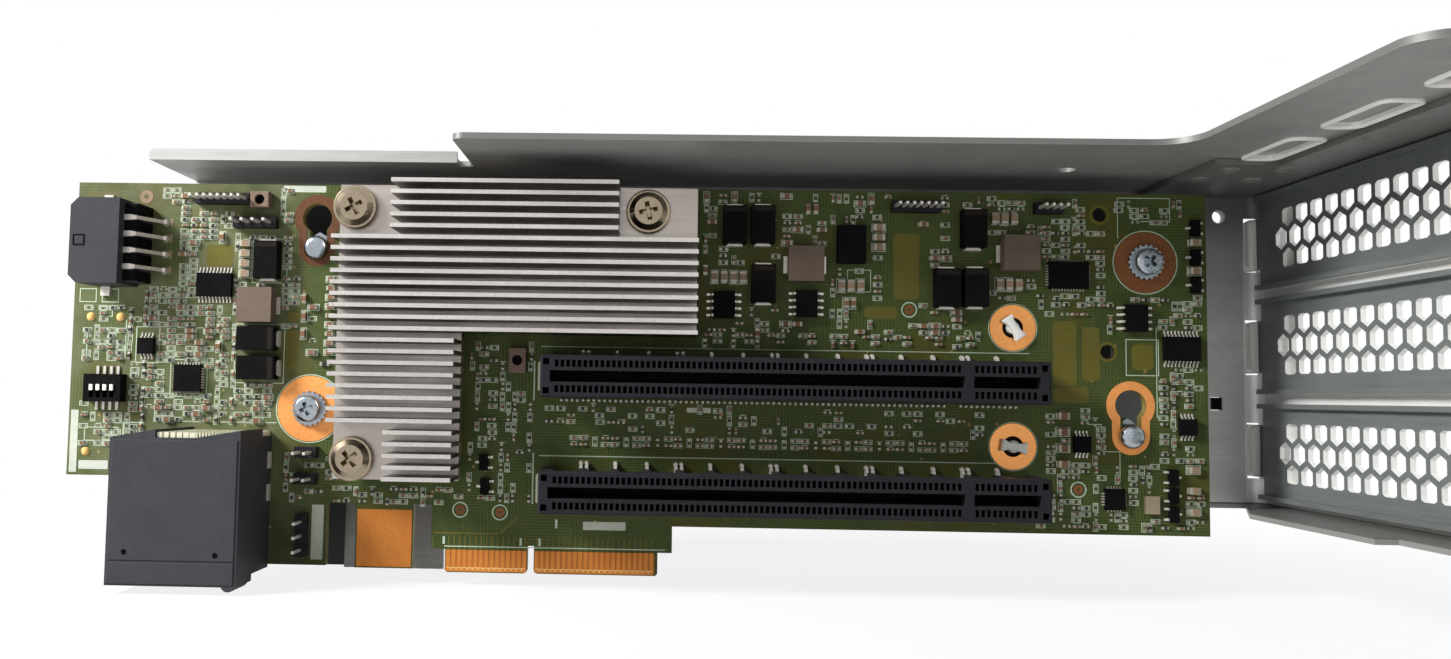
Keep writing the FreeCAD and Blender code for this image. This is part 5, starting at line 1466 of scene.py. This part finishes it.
@dataclass
class PackageLeads:
    """Bent leads of the leaded packages and solder of the leadless ones."""

    lead_thickness: float = 0.16
    families: Sequence[LeadFamily] = (
        LeadFamily(SOICS, 1.95, 1.27, 4, False, (0.42, 0.7, 1.25)),
        LeadFamily(TSSOPS, 2.2, 0.65, 10, True, (0.26, 0.45, 1.1)),
        LeadFamily(SMALL_PACKAGES, 1.5, 0.65, 4, True, (0.28, 0.45, 0.95)),
    )
    sot_lead: Triple = (0.42, 0.45, 0.8)
    sot_half: float = 0.8
    sot_pitch: float = 0.95
    sots_right: Sequence[Spot] = ((120.7, 65.0), (120.7, 59.6), (120.7, 54.5), (-8.9, 20.1), (-8.6, 15.7))
    sots_left: Sequence[Spot] = ((116.2, 19.5), (116.2, 16.2), (116.2, 12.9))
    quads: Sequence[tuple[float, float, float, float, int, int]] = (
        (-64.4, 34.7, 5.0, 5.0, 8, 8), (97.7, 56.0, 7.2, 5.0, 11, 8), (105.7, 15.4, 3.6, 3.8, 5, 5),
    )
    quad_pitches: Pair = (0.55, 0.5)
    fillet_box: Box = ((-0.02, BOARD_FACE - 0.35, -0.13), (0.45, BOARD_FACE - SKIN, 0.13))
    strip_box: Box = ((3.62, BOARD_FACE - 1.25, -1.55), (4.0, BOARD_FACE - 0.02, 1.55))
    bar_box: Box = ((2.3, -3.725, -2.0), (3.2, -3.68, 2.0))

    def master(self, width: float, level: float, reach: float) -> Piece:
        """Model one gull-wing lead that leaves a body at X 0 towards +X.

        Args:
            width: Lead width.
            level: Height of its shoulder over the board.
            reach: How far its foot reaches.

        Returns:
            The lead.
        """
        top = BOARD_FACE - level
        lead = add_block("lead", (-0.05, top - self.lead_thickness, -width / 2), (reach * 0.28, top, width / 2))
        with editing(lead, "FACE", facing(Side.RIGHT)):
            draw_out(reach * 0.2, level - 0.02)
            draw_out(reach * 0.52, 0.0)
        return lead

    def sides(self, spot: Spot, half: float, pitch: float, count: int, upright: bool) -> list[Matrix]:
        """Places of the leads on two opposite sides of a package.

        Args:
            spot: Middle of the package as X and Z.
            half: Half its body across the leads.
            pitch: Lead pitch.
            count: Leads a side.
            upright: True where the leads point up and down.

        Returns:
            One matrix a lead.
        """
        places = []
        for n in range(count):
            offset = pitch * (n - (count - 1) / 2)
            for turn, sign in ((0, 1), (180, -1)):
                if upright:
                    places.append(shift(spot[0] + offset, 0, spot[1] + sign * half, turn + 90))
                else:
                    places.append(shift(spot[0] + sign * half, 0, spot[1] + offset, turn))
        return places

    def leads(self) -> None:
        """Model and dress the leads of each package family."""
        groups = []
        for family in self.families:
            places = []
            for spot in family.spots:
                places += self.sides(spot, family.half, family.pitch, family.count, family.upright)
            groups.append(spread("leads", self.master(*family.lead), places))
        places = []
        for pair, single, spots in ((0, 180, self.sots_right), (180, 0, self.sots_left)):
            side = self.sot_half if pair == 0 else -self.sot_half
            for x, z in spots:
                places += [shift(x + side, 0, z + self.sot_pitch, pair), shift(x + side, 0, z - self.sot_pitch, pair),
                           shift(x - side, 0, z, single)]
        groups.append(spread("leads", self.master(*self.sot_lead), places))
        finish_piece(join("package_leads", groups), TIN, slot="tinned_metal")

    def fillet(self) -> Piece:
        """Model one solder fillet of a leadless package.

        Returns:
            The fillet.
        """
        fillet = add_block("fillet", *self.fillet_box)
        taper(fillet, facing(Side.RIGHT), (1.0, 0.25, 0.8), (self.fillet_box[1][0], BOARD_FACE, 0))
        return fillet

    def fillets(self) -> None:
        """Model and dress the solder round the leadless packages."""
        places = []
        for x, z, wide, tall, along_x, along_z in self.quads:
            places += self.sides((x, z), wide / 2, self.quad_pitches[1], along_z, False)
            places += self.sides((x, z), tall / 2, self.quad_pitches[0], along_x, True)
        finish_piece(spread("leadless_solder", self.fillet(), places), SOLDER, slot="tinned_metal")

    def terminals(self) -> None:
        """Model and dress the end strips and polarity bars of the moulded capacitors."""
        strip = add_block("strip", *self.strip_box)
        taper(strip, facing(Side.FRONT), (0.7, 1.0, 0.92), (self.strip_box[0][0], 0, 0))
        places = []
        for x, z, upright in TANTALUMS:
            turn = 90 if upright else 0
            places += [shift(x, 0, z, turn), shift(x, 0, z, turn + 180)]
        finish_piece(spread("capacitor_terminals", strip, places), TIN, slot="tinned_metal")
        bar = add_block("bar", *self.bar_box)
        bevel(bar, along(Side.FRONT), 0.2)
        finish_piece(spread("polarity_bars", bar, places[::2]), BAR)

    def build(self) -> None:
        """Model and dress leads, solder and terminals."""
        self.leads()
        self.fillets()
        self.terminals()


@dataclass
class CoilForms:
    """Square brown coil forms with a round dimple."""

    forms: Sequence[tuple[float, float, float, float]] = ((-3.0, 38.9, 3.2, 4.6), (-51.7, 68.1, 3.6, 3.0))
    height: float = 1.9
    dimple: float = 0.95

    def build(self) -> None:
        """Model and dress the coil forms."""
        blocks, pits = [], []
        for x, z, wide, tall in self.forms:
            front = BOARD_FACE - self.height
            block = add_block("form", (x - wide / 2, front, z - tall / 2), (x + wide / 2, BOARD_FACE, z + tall / 2))
            bevel(block, lambda middle, run: abs(run.y) > STRAIGHT or middle.y < front + NEAR, 0.22, 2)
            cut_away(block, add_rod("dimple", (x, front + 1.0, z), self.dimple, 2.0, sides=28))
            pit = add_rod("pit", (x, front + 1.0, z), self.dimple - 0.02, 0.3, sides=28)
            inset(pit, Side.FRONT, 0.3, -0.15)
            blocks.append(block)
            pits.append(pit)
        finish_piece(join("coil_forms", blocks), CLAY)
        finish_piece(join("coil_pits", pits), PACKAGE)


@dataclass
class CardSocket:
    """Card-edge socket: shell with mouth, contact cells and side pockets, springs, clips and board tails."""

    node: str
    up: float
    left: float = 2.2
    right: float = 90.9
    half: float = 3.75
    height: float = 11.25
    mouth: float = 1.0
    mouth_ends: Pair = (3.9, 89.1)
    mouth_depth: float = 9.5
    corner_x: Pair = (0.5, -1.6)
    corner_z: Pair = (2.0, -3.1)
    corner_size: Pair = (1.1, 3.2)
    key: Pair = (76.1, 77.6)
    first_contact: float = 88.1
    cell: Triple = (0.64, 1.62, 2.85)
    cell_depth: float = 4.2
    spring_y: tuple[float, float, float, float] = (4.4, 6.0, 7.4, 9.2)
    spring_z: Pair = (0.82, 0.94)
    spring_half: float = 0.2
    spring_bow: float = 0.42
    clip_start: float = 9.5
    clip_step: float = 5.78
    clip_count: int = 14
    pocket: Pair = (2.35, 0.85)

    def contact_places(self) -> list[float]:
        """X of the contacts, with the step at the key rib."""
        return [self.first_contact - (n - 1 if n <= 11 else n + 1) for n in range(1, 83)]

    def both_sides(self, across: Sequence[float]) -> list[Matrix]:
        """Places on the upper and the lower side at the given X."""
        return [shift(x, 0, self.up, turn) for x in across for turn in (0, 180)]

    def shell(self) -> Piece:
        """Model the moulded shell.

        Returns:
            The shell.
        """
        front = BOARD_FACE - self.height
        shell = add_block("shell", (self.left, front, self.up - self.half),
                          (self.right, BOARD_FACE, self.up + self.half))
        bevel(shell, lambda middle, run: middle.y < front + NEAR, 0.3, 2)
        tools = []
        start, end = self.mouth_ends
        for left, right in ((start, self.key[0]), (self.key[1], end)):
            tools.append(add_block("mouth", (left, front - 1, self.up - self.mouth),
                                   (right, front + self.mouth_depth, self.up + self.mouth)))
        size, depth = self.corner_size
        for x in (self.left + self.corner_x[0], self.right + self.corner_x[1]):
            for z in (self.up + self.corner_z[0], self.up + self.corner_z[1]):
                tools.append(add_block("corner", (x, front - 1, z), (x + size, front + depth, z + size)))
        width, inner, outer = self.cell
        cell = add_block("cell", (-width / 2, front - 0.5, inner), (width / 2, front + self.cell_depth, outer))
        tools.append(spread("cells", cell, self.both_sides(self.contact_places())))
        half, depth = self.pocket
        pocket = add_block("pocket", (-half, front + 1.8, self.half - depth), (half, BOARD_FACE + 1, self.half + 1))
        taper(pocket, facing(Side.FRONT), (0.86, 1.0, 1.0))
        middles = [self.clip_start + self.clip_step * (n - 0.5) for n in range(self.clip_count + 1)]
        tools.append(spread("pockets", pocket, self.both_sides(middles)))
        cut_away(shell, join("tools", tools))
        return shell

    def contacts(self) -> Piece:
        """Model the spring contacts on both walls of the mouth.

        Returns:
            The contacts.
        """
        front = BOARD_FACE - self.height
        start, bow, foot, end = self.spring_y
        inner, outer = self.spring_z
        spring = add_block("spring", (-self.spring_half, front + start, inner), (self.spring_half, front + end, outer))
        slice_at(spring, (0, front + bow, 0), (0, 1, 0))
        slice_at(spring, (0, front + foot, 0), (0, 1, 0))
        with editing(spring, "EDGE", lambda middle, run: abs(middle.y - front - bow) < 0.05):
            bpy.ops.transform.translate(value=(0, 0, -self.spring_bow * MM))
        return spread("springs", spring, self.both_sides(self.contact_places()))

    def tails(self) -> Piece:
        """Model the soldered tails along the socket's lower side."""
        tail = add_rod("tail", (0, BOARD_FACE, self.half + 0.5), 0.33, 0.5, sides=10, tip=0.17)
        return spread("tails", tail, [shift(x, 0, self.up, 180) for x in self.contact_places()])

    def clips(self) -> Piece:
        """Model the bright hold-down clips on the upper side, single and double in turn.

        Returns:
            The clips.
        """
        top = self.half
        clip = add_block("clip", (-0.33, BOARD_FACE - 1.9, top - 0.9), (0.33, BOARD_FACE - 0.02, top + 0.85))
        taper(clip, facing(Side.TOP), (0.85, 0.45, 1.0), ON_BOARD)
        drop = add_rod("drop", (0, BOARD_FACE - 0.01, top + 0.85), 0.48, 0.6, sides=12, tip=0.3)
        clip = join("clip", [drop, clip])
        places = []
        for n in range(self.clip_count):
            x = self.clip_start + self.clip_step * n
            offsets = (-0.52, 0.52) if n % 3 == 0 else (0.0,)
            places += [shift(x + offset, 0, self.up) for offset in offsets]
        return spread("clips", clip, places)

    def end_strip(self) -> Piece:
        """Model the pale strip that stands at the socket's left end.

        Returns:
            The strip.
        """
        strip = add_block("strip", (self.left - 1.2, BOARD_FACE - 3.2, self.up - 2.6),
                          (self.left - 0.4, BOARD_FACE - 0.01, self.up + 2.7))
        bevel(strip, along(Side.FRONT), 0.35, 2)
        return strip

    def build(self) -> None:
        """Model and dress the socket."""
        prefix = self.node.split("_")[0] + "_socket_"
        finish_piece(join(prefix + "shell", [self.shell()]), SOCKET, slot="socket_black", stands_for=self.node)
        # The gold springs take the near-black painted shade of the socket's mouth.
        finish_piece(join(prefix + "contacts", [self.contacts()]), DEEP_SHADE, slot="gold_plating")
        finish_piece(join(prefix + "tails", [self.tails()]), TIN, slot="tinned_metal")
        finish_piece(join(prefix + "clips", [self.clips()]), TIN, slot="tinned_metal")
        finish_piece(join(prefix + "end_strip", [self.end_strip()]), WAFER)


@dataclass
class ScrewHeads:
    """Cross-head screws of the heat sink and toothed-washer screws of the board."""

    sink_places: Sequence[Spot] = ((-32.5, 66.1), (20.7, 65.9), (-31.9, 20.7))
    sink_turns: Sequence[float] = (28, 12, 40)
    sink_seat: float = -6.4
    sink_radius: float = 4.0
    sink_height: float = 2.1
    board_places: Sequence[Spot] = ((-41.5, 29.4), (111.8, 58.6))
    board_turns: Sequence[float] = (20, 50)
    washer_teeth: int = 20
    washer_radius: float = 2.95
    washer: float = 0.6
    head: Pair = (2.45, 1.9)

    def cross(self, depth: float, length: float, width: float, sink: float) -> Piece:
        """Model a cross-recess tool.

        Args:
            depth: Y of its mouth.
            length: Length of its bars.
            width: Width of its bars.
            sink: How deep it goes.

        Returns:
            The tool.
        """
        bars = []
        for wide, tall in ((length, width), (width, length)):
            bar = add_block("bar", (-wide / 2, depth - 0.5, -tall / 2), (wide / 2, depth + sink, tall / 2))
            taper(bar, facing(Side.BACK), (0.5, 1.0, 0.5))
            bars.append(bar)
        add_to(bars[0], bars[1])
        return bars[0]

    def sink_screw(self) -> Piece:
        """Model one flat-domed screw with a rim step and its shank.

        Returns:
            The screw.
        """
        rim = self.sink_height * 0.62
        head = add_rod("screw", (0, self.sink_seat, 0), self.sink_radius, rim, sides=56)
        front = self.sink_seat - rim
        with editing(head, "FACE", facing(Side.FRONT)):
            bpy.ops.mesh.inset(thickness=0.55 * MM, depth=0.0)
            bpy.ops.mesh.inset(thickness=0.95 * MM, depth=(self.sink_height - rim) * MM)
        bevel(head, lambda middle, run: abs(middle.y - front) < NEAR and
              math.hypot(middle.x, middle.z) > self.sink_radius - 0.1, 0.3, 3)
        cut_away(head, self.cross(self.sink_seat - self.sink_height, 3.9, 0.95, 1.3))
        shank = add_rod("shank", (0, self.sink_seat + 5.4, 0), 1.5, 5.4, sides=24)
        return join("screw", [shank, head])

    def board_screw(self) -> Piece:
        """Model one screw with its toothed washer, rounded head and recess.

        Returns:
            The screw.
        """
        washer = add_rod("washer", ON_BOARD, self.washer_radius, self.washer, sides=self.washer_teeth * 2)
        step = math.pi / self.washer_teeth
        with editing(washer, "FACE", lambda middle, out: abs(out.y) < 0.1 and
                     round(math.atan2(middle.z, middle.x) / step - 0.5) % 2 == 0):
            bpy.ops.mesh.extrude_faces_move(TRANSFORM_OT_shrink_fatten={"value": 0.3 * MM})
        head = add_rod("head", (0, BOARD_FACE - self.washer, 0), *self.head, sides=36)
        top = BOARD_FACE - self.washer - self.head[1]
        bevel(head, lambda middle, run: middle.y < top + NEAR, 0.7, 4)
        cut_away(head, self.cross(top, 3.0, 0.85, 1.0))
        shank = add_rod("shank", (0, BOARD_FACE + 6.4, 0), 1.5, 6.4, sides=24)
        return join("screw", [shank, washer, head])

    def build(self) -> None:
        """Model and dress the screws."""
        places = [shift(x, 0, z, turn) for (x, z), turn in zip(self.sink_places, self.sink_turns)]
        item = spread("domed_screws", self.sink_screw(), places)
        smooth(item, 28)
        finish_piece(item, NICKEL, slot="nickel_screws", stands_for="heat_sink_screws")
        places = [shift(x, 0, z, turn) for (x, z), turn in zip(self.board_places, self.board_turns)]
        item = spread("washer_screws", self.board_screw(), places)
        smooth(item, 30)
        finish_piece(item, ZINC, slot="zinc_steel", stands_for="board_screws")


@dataclass
class Fasteners:
    """Round stud heads and the nylon pegs whose tips spread over the board."""

    studs: Sequence[Spot] = ((-41.2, 59.3), (108.9, 26.8))
    pegs: Sequence[Triple] = ((87.65, 46.25, -55.0), (87.6, 24.6, -8.0))
    plate: float = 18.5
    tip_half: float = 2.3
    tip_waist: float = 0.75
    tip_flare: float = 1.6
    tip_front: float = -2.3

    def stud(self) -> Piece:
        """Model one stud: hexagon post, neck and domed head.

        Returns:
            The stud.
        """
        post = add_rod("post", (0, self.plate, 0), 3.2, 17.7, sides=6)
        neck = add_rod("neck", (0, 0.8, 0), 1.6, 1.8, sides=24)
        head = add_rod("head", (0, BOARD_FACE - 0.2, 0), 2.25, 1.5, sides=36)
        bevel(head, lambda middle, run: middle.y < BOARD_FACE - 1.69, 1.1, 6)
        return join("stud", [post, neck, head])

    def peg(self) -> Piece:
        """Model one peg: hexagon stem, round neck and a waisted bar as its tip.

        Returns:
            The peg.
        """
        stem = add_rod("stem", (0, self.plate, 0), 2.9, 17.7, sides=6)
        neck = add_rod("neck", (0, 0.8, 0), 1.1, 2.2, sides=20)
        bar = add_block("bar", (-self.tip_half, self.tip_front, -self.tip_waist),
                        (self.tip_half, BOARD_FACE - 0.1, self.tip_waist))
        for x in (-1.25, 1.25):
            slice_at(bar, (x, 0, 0), (1, 0, 0))
        taper(bar, along(Side.RIGHT), (1.0, 1.0, self.tip_flare))
        bevel(bar, lambda middle, run: middle.y < self.tip_front + NEAR or abs(middle.x) > 2.2, 0.25, 2)
        return join("peg", [stem, neck, bar])

    def bores(self) -> Piece:
        """Model the dark linings in the peg holes: painted shade.

        Returns:
            The linings.
        """
        lining = add_rod("lining", (0, 0.6, 0), 1.86, 1.0, sides=32)
        inset(lining, Side.FRONT, 0.3, -0.5)
        return spread("peg_bores", lining, [shift(x, 0, z) for x, z, _ in self.pegs])

    def build(self) -> None:
        """Model and dress the fasteners."""
        item = spread("domed_studs", self.stud(), [shift(x, 0, z) for x, z in self.studs])
        smooth(item, 40)
        finish_piece(item, ZINC, slot="zinc_steel", stands_for="keyhole_studs")
        item = spread("waisted_pegs", self.peg(), [shift(x, 0, z, turn) for x, z, turn in self.pegs])
        smooth(item, 40)
        finish_piece(item, NYLON, slot="white_nylon", stands_for="support_posts")
        # The linings in the peg holes are painted shade.
        finish_piece(self.bores(), DEEP_SHADE)


@dataclass
class ConnectorTrim:
    """Fine mouldings on the link connector and the power header."""

    link_front: float = -16.8
    link_panel: Edges = (-70.6, 3.4, -48.8, 23.9)
    link_band: Edges = (-70.6, -0.6, -48.8, 3.15)
    dimples: Sequence[Spot] = ((-67.7, 4.8), (-52.0, 4.45))
    comb: Triple = (-62.8, -49.2, 0.55)
    comb_tooth: Box = ((-0.17, -16.4, 24.2), (0.17, -1.2, 25.25))
    pin_rows: Sequence[float] = (54.75, 57.75, 60.75, 63.75)
    boss: Box = ((-83.9, -8.2, 58.0), (-83.4, -5.6, 60.4))
    hood: Box = ((-82.9, -9.55, 58.3), (-80.9, -9.3, 60.2))
    pin_tooth: Box = ((-74.75, -7.15, 0.0), (-72.3, -0.85, 1.9))
    blade: Box = ((-82.0, -5.8, -0.4), (-74.6, -5.0, 0.4))
    cap: Box = ((-76.0, -7.5, -0.5), (-73.4, -6.85, 0.5))
    first_tooth: float = 52.15
    tooth_offset: float = 0.55

    def panel(self, edges: Edges) -> Piece:
        """Model one raised panel on the link connector's front.

        Args:
            edges: Its edges as X and Z.

        Returns:
            The panel.
        """
        left, low, right, high = edges
        panel = add_block("panel", (left, self.link_front - 0.1, low), (right, self.link_front, high))
        with editing(panel, "FACE", facing(Side.FRONT)):
            bpy.ops.mesh.inset(thickness=0.12 * MM, depth=0.0)
            bpy.ops.transform.translate(value=(0, -0.1 * MM, 0))
        return panel

    def link(self) -> None:
        """Model and dress the link connector's panels and its comb of contact wafers."""
        panel = self.panel(self.link_panel)
        for x, z in self.dimples:
            cut_away(panel, add_rod("dimple", (x, self.link_front + 0.1, z), 0.5, 1.0, sides=20))
        finish_piece(join("link_connector_panel", [self.panel(self.link_band), panel]), CONNECTOR,
                     slot="connector_black")
        pit = add_rod("pit", (0, self.link_front + 0.02, 0), 0.49, 0.06, sides=20)
        inset(pit, Side.FRONT, 0.15, -0.03)
        finish_piece(spread("link_connector_dimples", pit, [shift(x, 0, z) for x, z in self.dimples]), PACKAGE)
        left, right, step = self.comb
        tooth = add_block("tooth", *self.comb_tooth)
        taper(tooth, facing(Side.TOP), (0.6, 1.0, 1.0))
        count = int((right - left) / step)
        item = spread("link_connector_comb", tooth, [shift(left + step * n, 0, 0) for n in range(count)])
        finish_piece(item, WAFER, slot="wafer_cream")

    def power(self) -> None:
        """Model and dress the power header's latch hood and comb teeth."""
        boss = add_block("boss", *self.boss)
        bevel(boss, lambda middle, run: middle.x < -83.8, 0.2, 2)
        hood = add_block("hood", *self.hood)
        inset(hood, Side.FRONT, 0.3, -0.2)
        teeth = []
        (left, front, foot), (right, back, top) = self.pin_tooth
        for low in (self.first_tooth, *[z + self.tooth_offset for z in self.pin_rows]):
            tooth = add_block("tooth", (left, front, low + foot), (right, back, low + top))
            bevel(tooth, lambda middle, run: middle.x > right - 0.1 and middle.y < front + 0.05, 0.5, 2)
            teeth.append(tooth)
        finish_piece(join("power_header_trim", [boss, hood, *teeth]), PACKAGE, slot="connector_black")

    def power_pin(self) -> Piece:
        """Model one power pin: blade in the mouth, cap over the comb and a slope to the board.

        Returns:
            The pin.
        """
        blade = add_block("blade", *self.blade)
        taper(blade, facing(Side.LEFT), (1.0, 1.0, 0.5))
        cap = add_block("cap", *self.cap)
        with editing(cap, "FACE", facing(Side.RIGHT)):
            draw_out(0.9, 0.25)
            bpy.ops.transform.resize(value=(1.0, 0.8, 0.66), center_override=(0, -6.9 * MM, 0))
            draw_out(2.6, 5.5)
            draw_out(0.5, 0.25)
        return join("pin", [blade, cap])

    def power_pins(self) -> None:
        """Model and dress the power pins and their solder."""
        places = [shift(0, 0, z) for z in self.pin_rows]
        item = spread("power_pins", self.power_pin(), places)
        finish_piece(item, TIN, slot="tinned_metal", stands_for="power_header_pins")
        foot = add_rod("foot", (-69.8, BOARD_FACE - SKIN, 0), 0.8, 0.4, sides=20, tip=0.5)
        item = spread("power_header_solder", foot, places)
        smooth(item, 40)
        finish_piece(item, SOLDER, slot="tinned_metal")
        edge = plate("pad_edge", -69.0, -0.75, -68.55, 0.75, rise=0.03)
        finish_piece(spread("power_header_pads", edge, places), BUFF)

    def build(self) -> None:
        """Model and dress the trim."""
        self.link()
        self.power()
        self.power_pins()


@dataclass
class SheetMarks:
    """Clinch points that hold the wall's upper fold to the flange, pressed pads' rims and tongue rolls in painted
    highlight, and a dark block in the square hole as painted shade.
    """

    under: float = 74.1
    clinches: Sequence[Spot] = (
        (122.8, -10.1), (131.8, -11.5), (121.5, -1.6), (131.0, -1.2), (132.6, -35.7), (132.6, -60.0),
    )
    hole_shade: Box = ((132.35, 17.0, 31.8), (134.05, 18.6, 34.2))
    roll: Box = ((139.0, 15.6, -4.9), (140.85, 17.9, 4.9))
    flange: float = 75.2
    rim_drop: float = 0.5
    rim_width: float = 0.8
    tongues: Sequence[float] = (23.88, 44.2, 64.52)
    pads: Sequence[Edges] = (
        (122.8, -30.2, 127.9, -15.1), (122.8, -53.8, 127.9, -38.7), (122.8, -77.4, 127.9, -62.3),
    )

    def pad_rim(self, left: float, far: float, right: float, near: float) -> Piece:
        """Model the rim round one pressed pad on the flange's underside, dressed in painted highlight.

        Args:
            left, far, right, near: The pad's edges as X and Y.

        Returns:
            The rim.
        """
        wide, low = self.rim_width, self.flange - self.rim_drop
        rim = add_block("rim", (left - wide, far - wide, low), (right + wide, near + wide, self.flange + 0.005))
        bevel(rim, along(Side.TOP), 2.0, 5)
        hollow(rim, Side.TOP, wide)
        bevel(rim, lambda middle, run: middle.z < low + NEAR and abs(run.z) < 0.1, 0.3, 3)
        smooth(rim, 50)
        return rim

    def tongue_rolls(self) -> None:
        """Model and dress the rolled stops on the covers' tongues, in painted highlight."""
        left, front, _ = self.roll[0]
        roll = add_block("roll", *self.roll)
        bevel(roll, lambda middle, run: middle.x < left + 0.1 or middle.y < front + 0.1, 0.7, 4)
        smooth(roll, 50)
        finish_piece(spread("tongue_rolls", roll, [shift(0, 0, z) for z in self.tongues]), HIGHLIGHT_SHEET, slot="cover_steel")

    def build(self) -> None:
        """Model and dress the sheet's marks."""
        point = add_rod("clinch", (0, 0, self.under - 0.35), 1.5, 0.35, sides=28, tip=1.9, way=Side.TOP)
        with editing(point, "FACE", facing(Side.FOOT)):
            bpy.ops.mesh.inset(thickness=0.5 * MM, depth=0.0)
            bpy.ops.transform.translate(value=(0, 0, 0.28 * MM))
        item = spread("clinch_points", point, [shift(x, y, 0) for x, y in self.clinches])
        smooth(item, 30)
        # The clinch points take the wall's sheet and so its painted shade under the flange.
        finish_piece(item, WALL, slot="cage_steel")
        rims = [self.pad_rim(*edges) for edges in self.pads]
        # The rims' near-white finish is painted highlight.
        finish_piece(join("pressed_pad_rims", rims), HIGHLIGHT_SHEET, slot="cage_steel")
        self.tongue_rolls()
        # A black block in the square hole: painted shade.
        hole_shade = add_block("square_hole_shade", *self.hole_shade)
        bevel(hole_shade, lambda middle, run: middle.y < self.hole_shade[0][1] + NEAR, 0.25, 2)
        finish_piece(hole_shade, PACKAGE)


# Light and camera


@dataclass
class Studio:
    """Pale floor and surroundings, soft lamps, and the camera at the photograph's angle."""

    width: int = 1451
    height: int = 659
    focal: float = 1150.0
    centre: Pair = (631.4, 323.2)
    eye: Point = (23.1, -212.8, 32.8)
    turn: Point = (-3.6, 0.87, -1.41)
    sensor: float = 36.0
    surround: float = 0.075
    floor_tone: Colour = (0.82, 0.82, 0.82)
    floor_fade: tuple[float, float, float, float] = (0.12, 0.26, 0.85, 1.0)
    lamps: Sequence[tuple[str, Point, Point, float, float]] = (
        ("key", (-400, -220, 315), (0, -10, 35), 170, 6.0),
        ("fill", (300, -620, 160), (40, -10, 30), 500, 0.10),
    )

    def seen(self, wiring: Wiring) -> Socket:
        """Tell if a ray comes from the camera, a reflection or clear glass.

        Args:
            wiring: Wiring of the tree that asks.

        Returns:
            1 for such a ray and 0 for the rest.
        """
        rays = wiring.add("LightPath")
        direct = wiring.math("MAXIMUM", rays.outputs["Is Camera Ray"], rays.outputs["Is Glossy Ray"])
        return wiring.math("MAXIMUM", direct, rays.outputs["Is Transmission Ray"])

    def floor(self) -> None:
        """Lay the floor that fades into the pale surroundings."""
        only()
        bpy.ops.mesh.primitive_plane_add(size=12.0, location=(0, 0, CAD_BOX[0].z))
        plane = settle("floor")
        made = bpy.data.materials.new("pale_floor")
        made.use_nodes = True
        tree = made.node_tree
        wiring = Wiring(tree)
        shader = tree.nodes["Principled BSDF"]
        wiring.feed(shader, {"Base Color": opaque(self.floor_tone), "Roughness": 0.9})
        place = wiring.add("TexCoord").outputs["Object"]
        away = wiring.add("VectorMath", {0: place}, operation="LENGTH").outputs["Value"]
        share = wiring.math("MULTIPLY", self.seen(wiring), wiring.span(away, *self.floor_fade))
        glow = wiring.add("Emission", {"Color": (1, 1, 1, 1), "Strength": 1.0})
        mixed = wiring.add("MixShader", {0: share, 1: shader.outputs[0], 2: glow.outputs[0]})
        wiring.feed(tree.nodes["Material Output"], {0: mixed.outputs[0]})
        plane.data.materials.append(made)

    def surroundings(self) -> None:
        """Light the scene evenly, and show white to the camera and in reflections."""
        world = bpy.data.worlds.new("surroundings")
        world.use_nodes = True
        bpy.context.scene.world = world
        tree = world.node_tree
        wiring = Wiring(tree)
        strength = wiring.span(self.seen(wiring), 0.0, 1.0, self.surround, 1.0)
        wiring.feed(tree.nodes["Background"], {"Color": (1, 1, 1, 1), "Strength": strength})

    def light(self) -> None:
        """Hang the soft lamps."""
        for name, spot, aim, size, power in self.lamps:
            only()
            bpy.ops.object.light_add(type="AREA", location=[v * MM for v in spot])
            lamp = bpy.context.active_object
            lamp.name = "lamp_" + name
            lamp.data.shape = "DISK"
            lamp.data.size = size * MM
            lamp.data.energy = power
            lamp.visible_camera = False
            run = Vector(aim) - Vector(spot)
            lamp.rotation_euler = run.to_track_quat("-Z", "Y").to_euler()

    def camera(self) -> None:
        """Set the camera where the photograph was taken."""
        axis = Vector(self.turn)
        turn = Quaternion(axis.normalized(), math.radians(axis.length)).to_matrix()
        right, ahead, up = turn[0], turn[1], turn[2]
        only()
        bpy.ops.object.camera_add()
        eye = bpy.context.active_object
        eye.name = "camera"
        place = Matrix((right, up, -Vector(ahead))).transposed().to_4x4()
        place.translation = Vector(self.eye) * MM
        eye.matrix_world = place
        eye.data.sensor_width = self.sensor
        eye.data.lens = self.focal / self.width * self.sensor
        eye.data.shift_x = 0.5 - self.centre[0] / self.width
        eye.data.shift_y = (self.centre[1] - self.height / 2) / self.width
        eye.data.clip_start = 0.005
        bpy.context.scene.camera = eye

    def build(self) -> None:
        """Set up the studio."""
        bpy.context.scene.view_settings.view_transform = "Standard"
        self.floor()
        self.surroundings()
        self.light()
        self.camera()


def main() -> None:
    """Dress the nodes, build the fine parts and set up the studio."""
    logging.basicConfig(level=logging.INFO, format="%(name)s %(message)s")
    dress_nodes()
    Studio().build()
    BoardCopper().build()
    BoardPrint().build()
    ChipParts().build()
    PackageLeads().build()
    CoilForms().build()
    CardSocket("upper_card_slot", 36.0).build()
    CardSocket("lower_card_slot", 15.68).build()
    ScrewHeads().build()
    Fasteners().build()
    ConnectorTrim().build()
    SheetMarks().build()


if __name__ == "__main__":
    main()
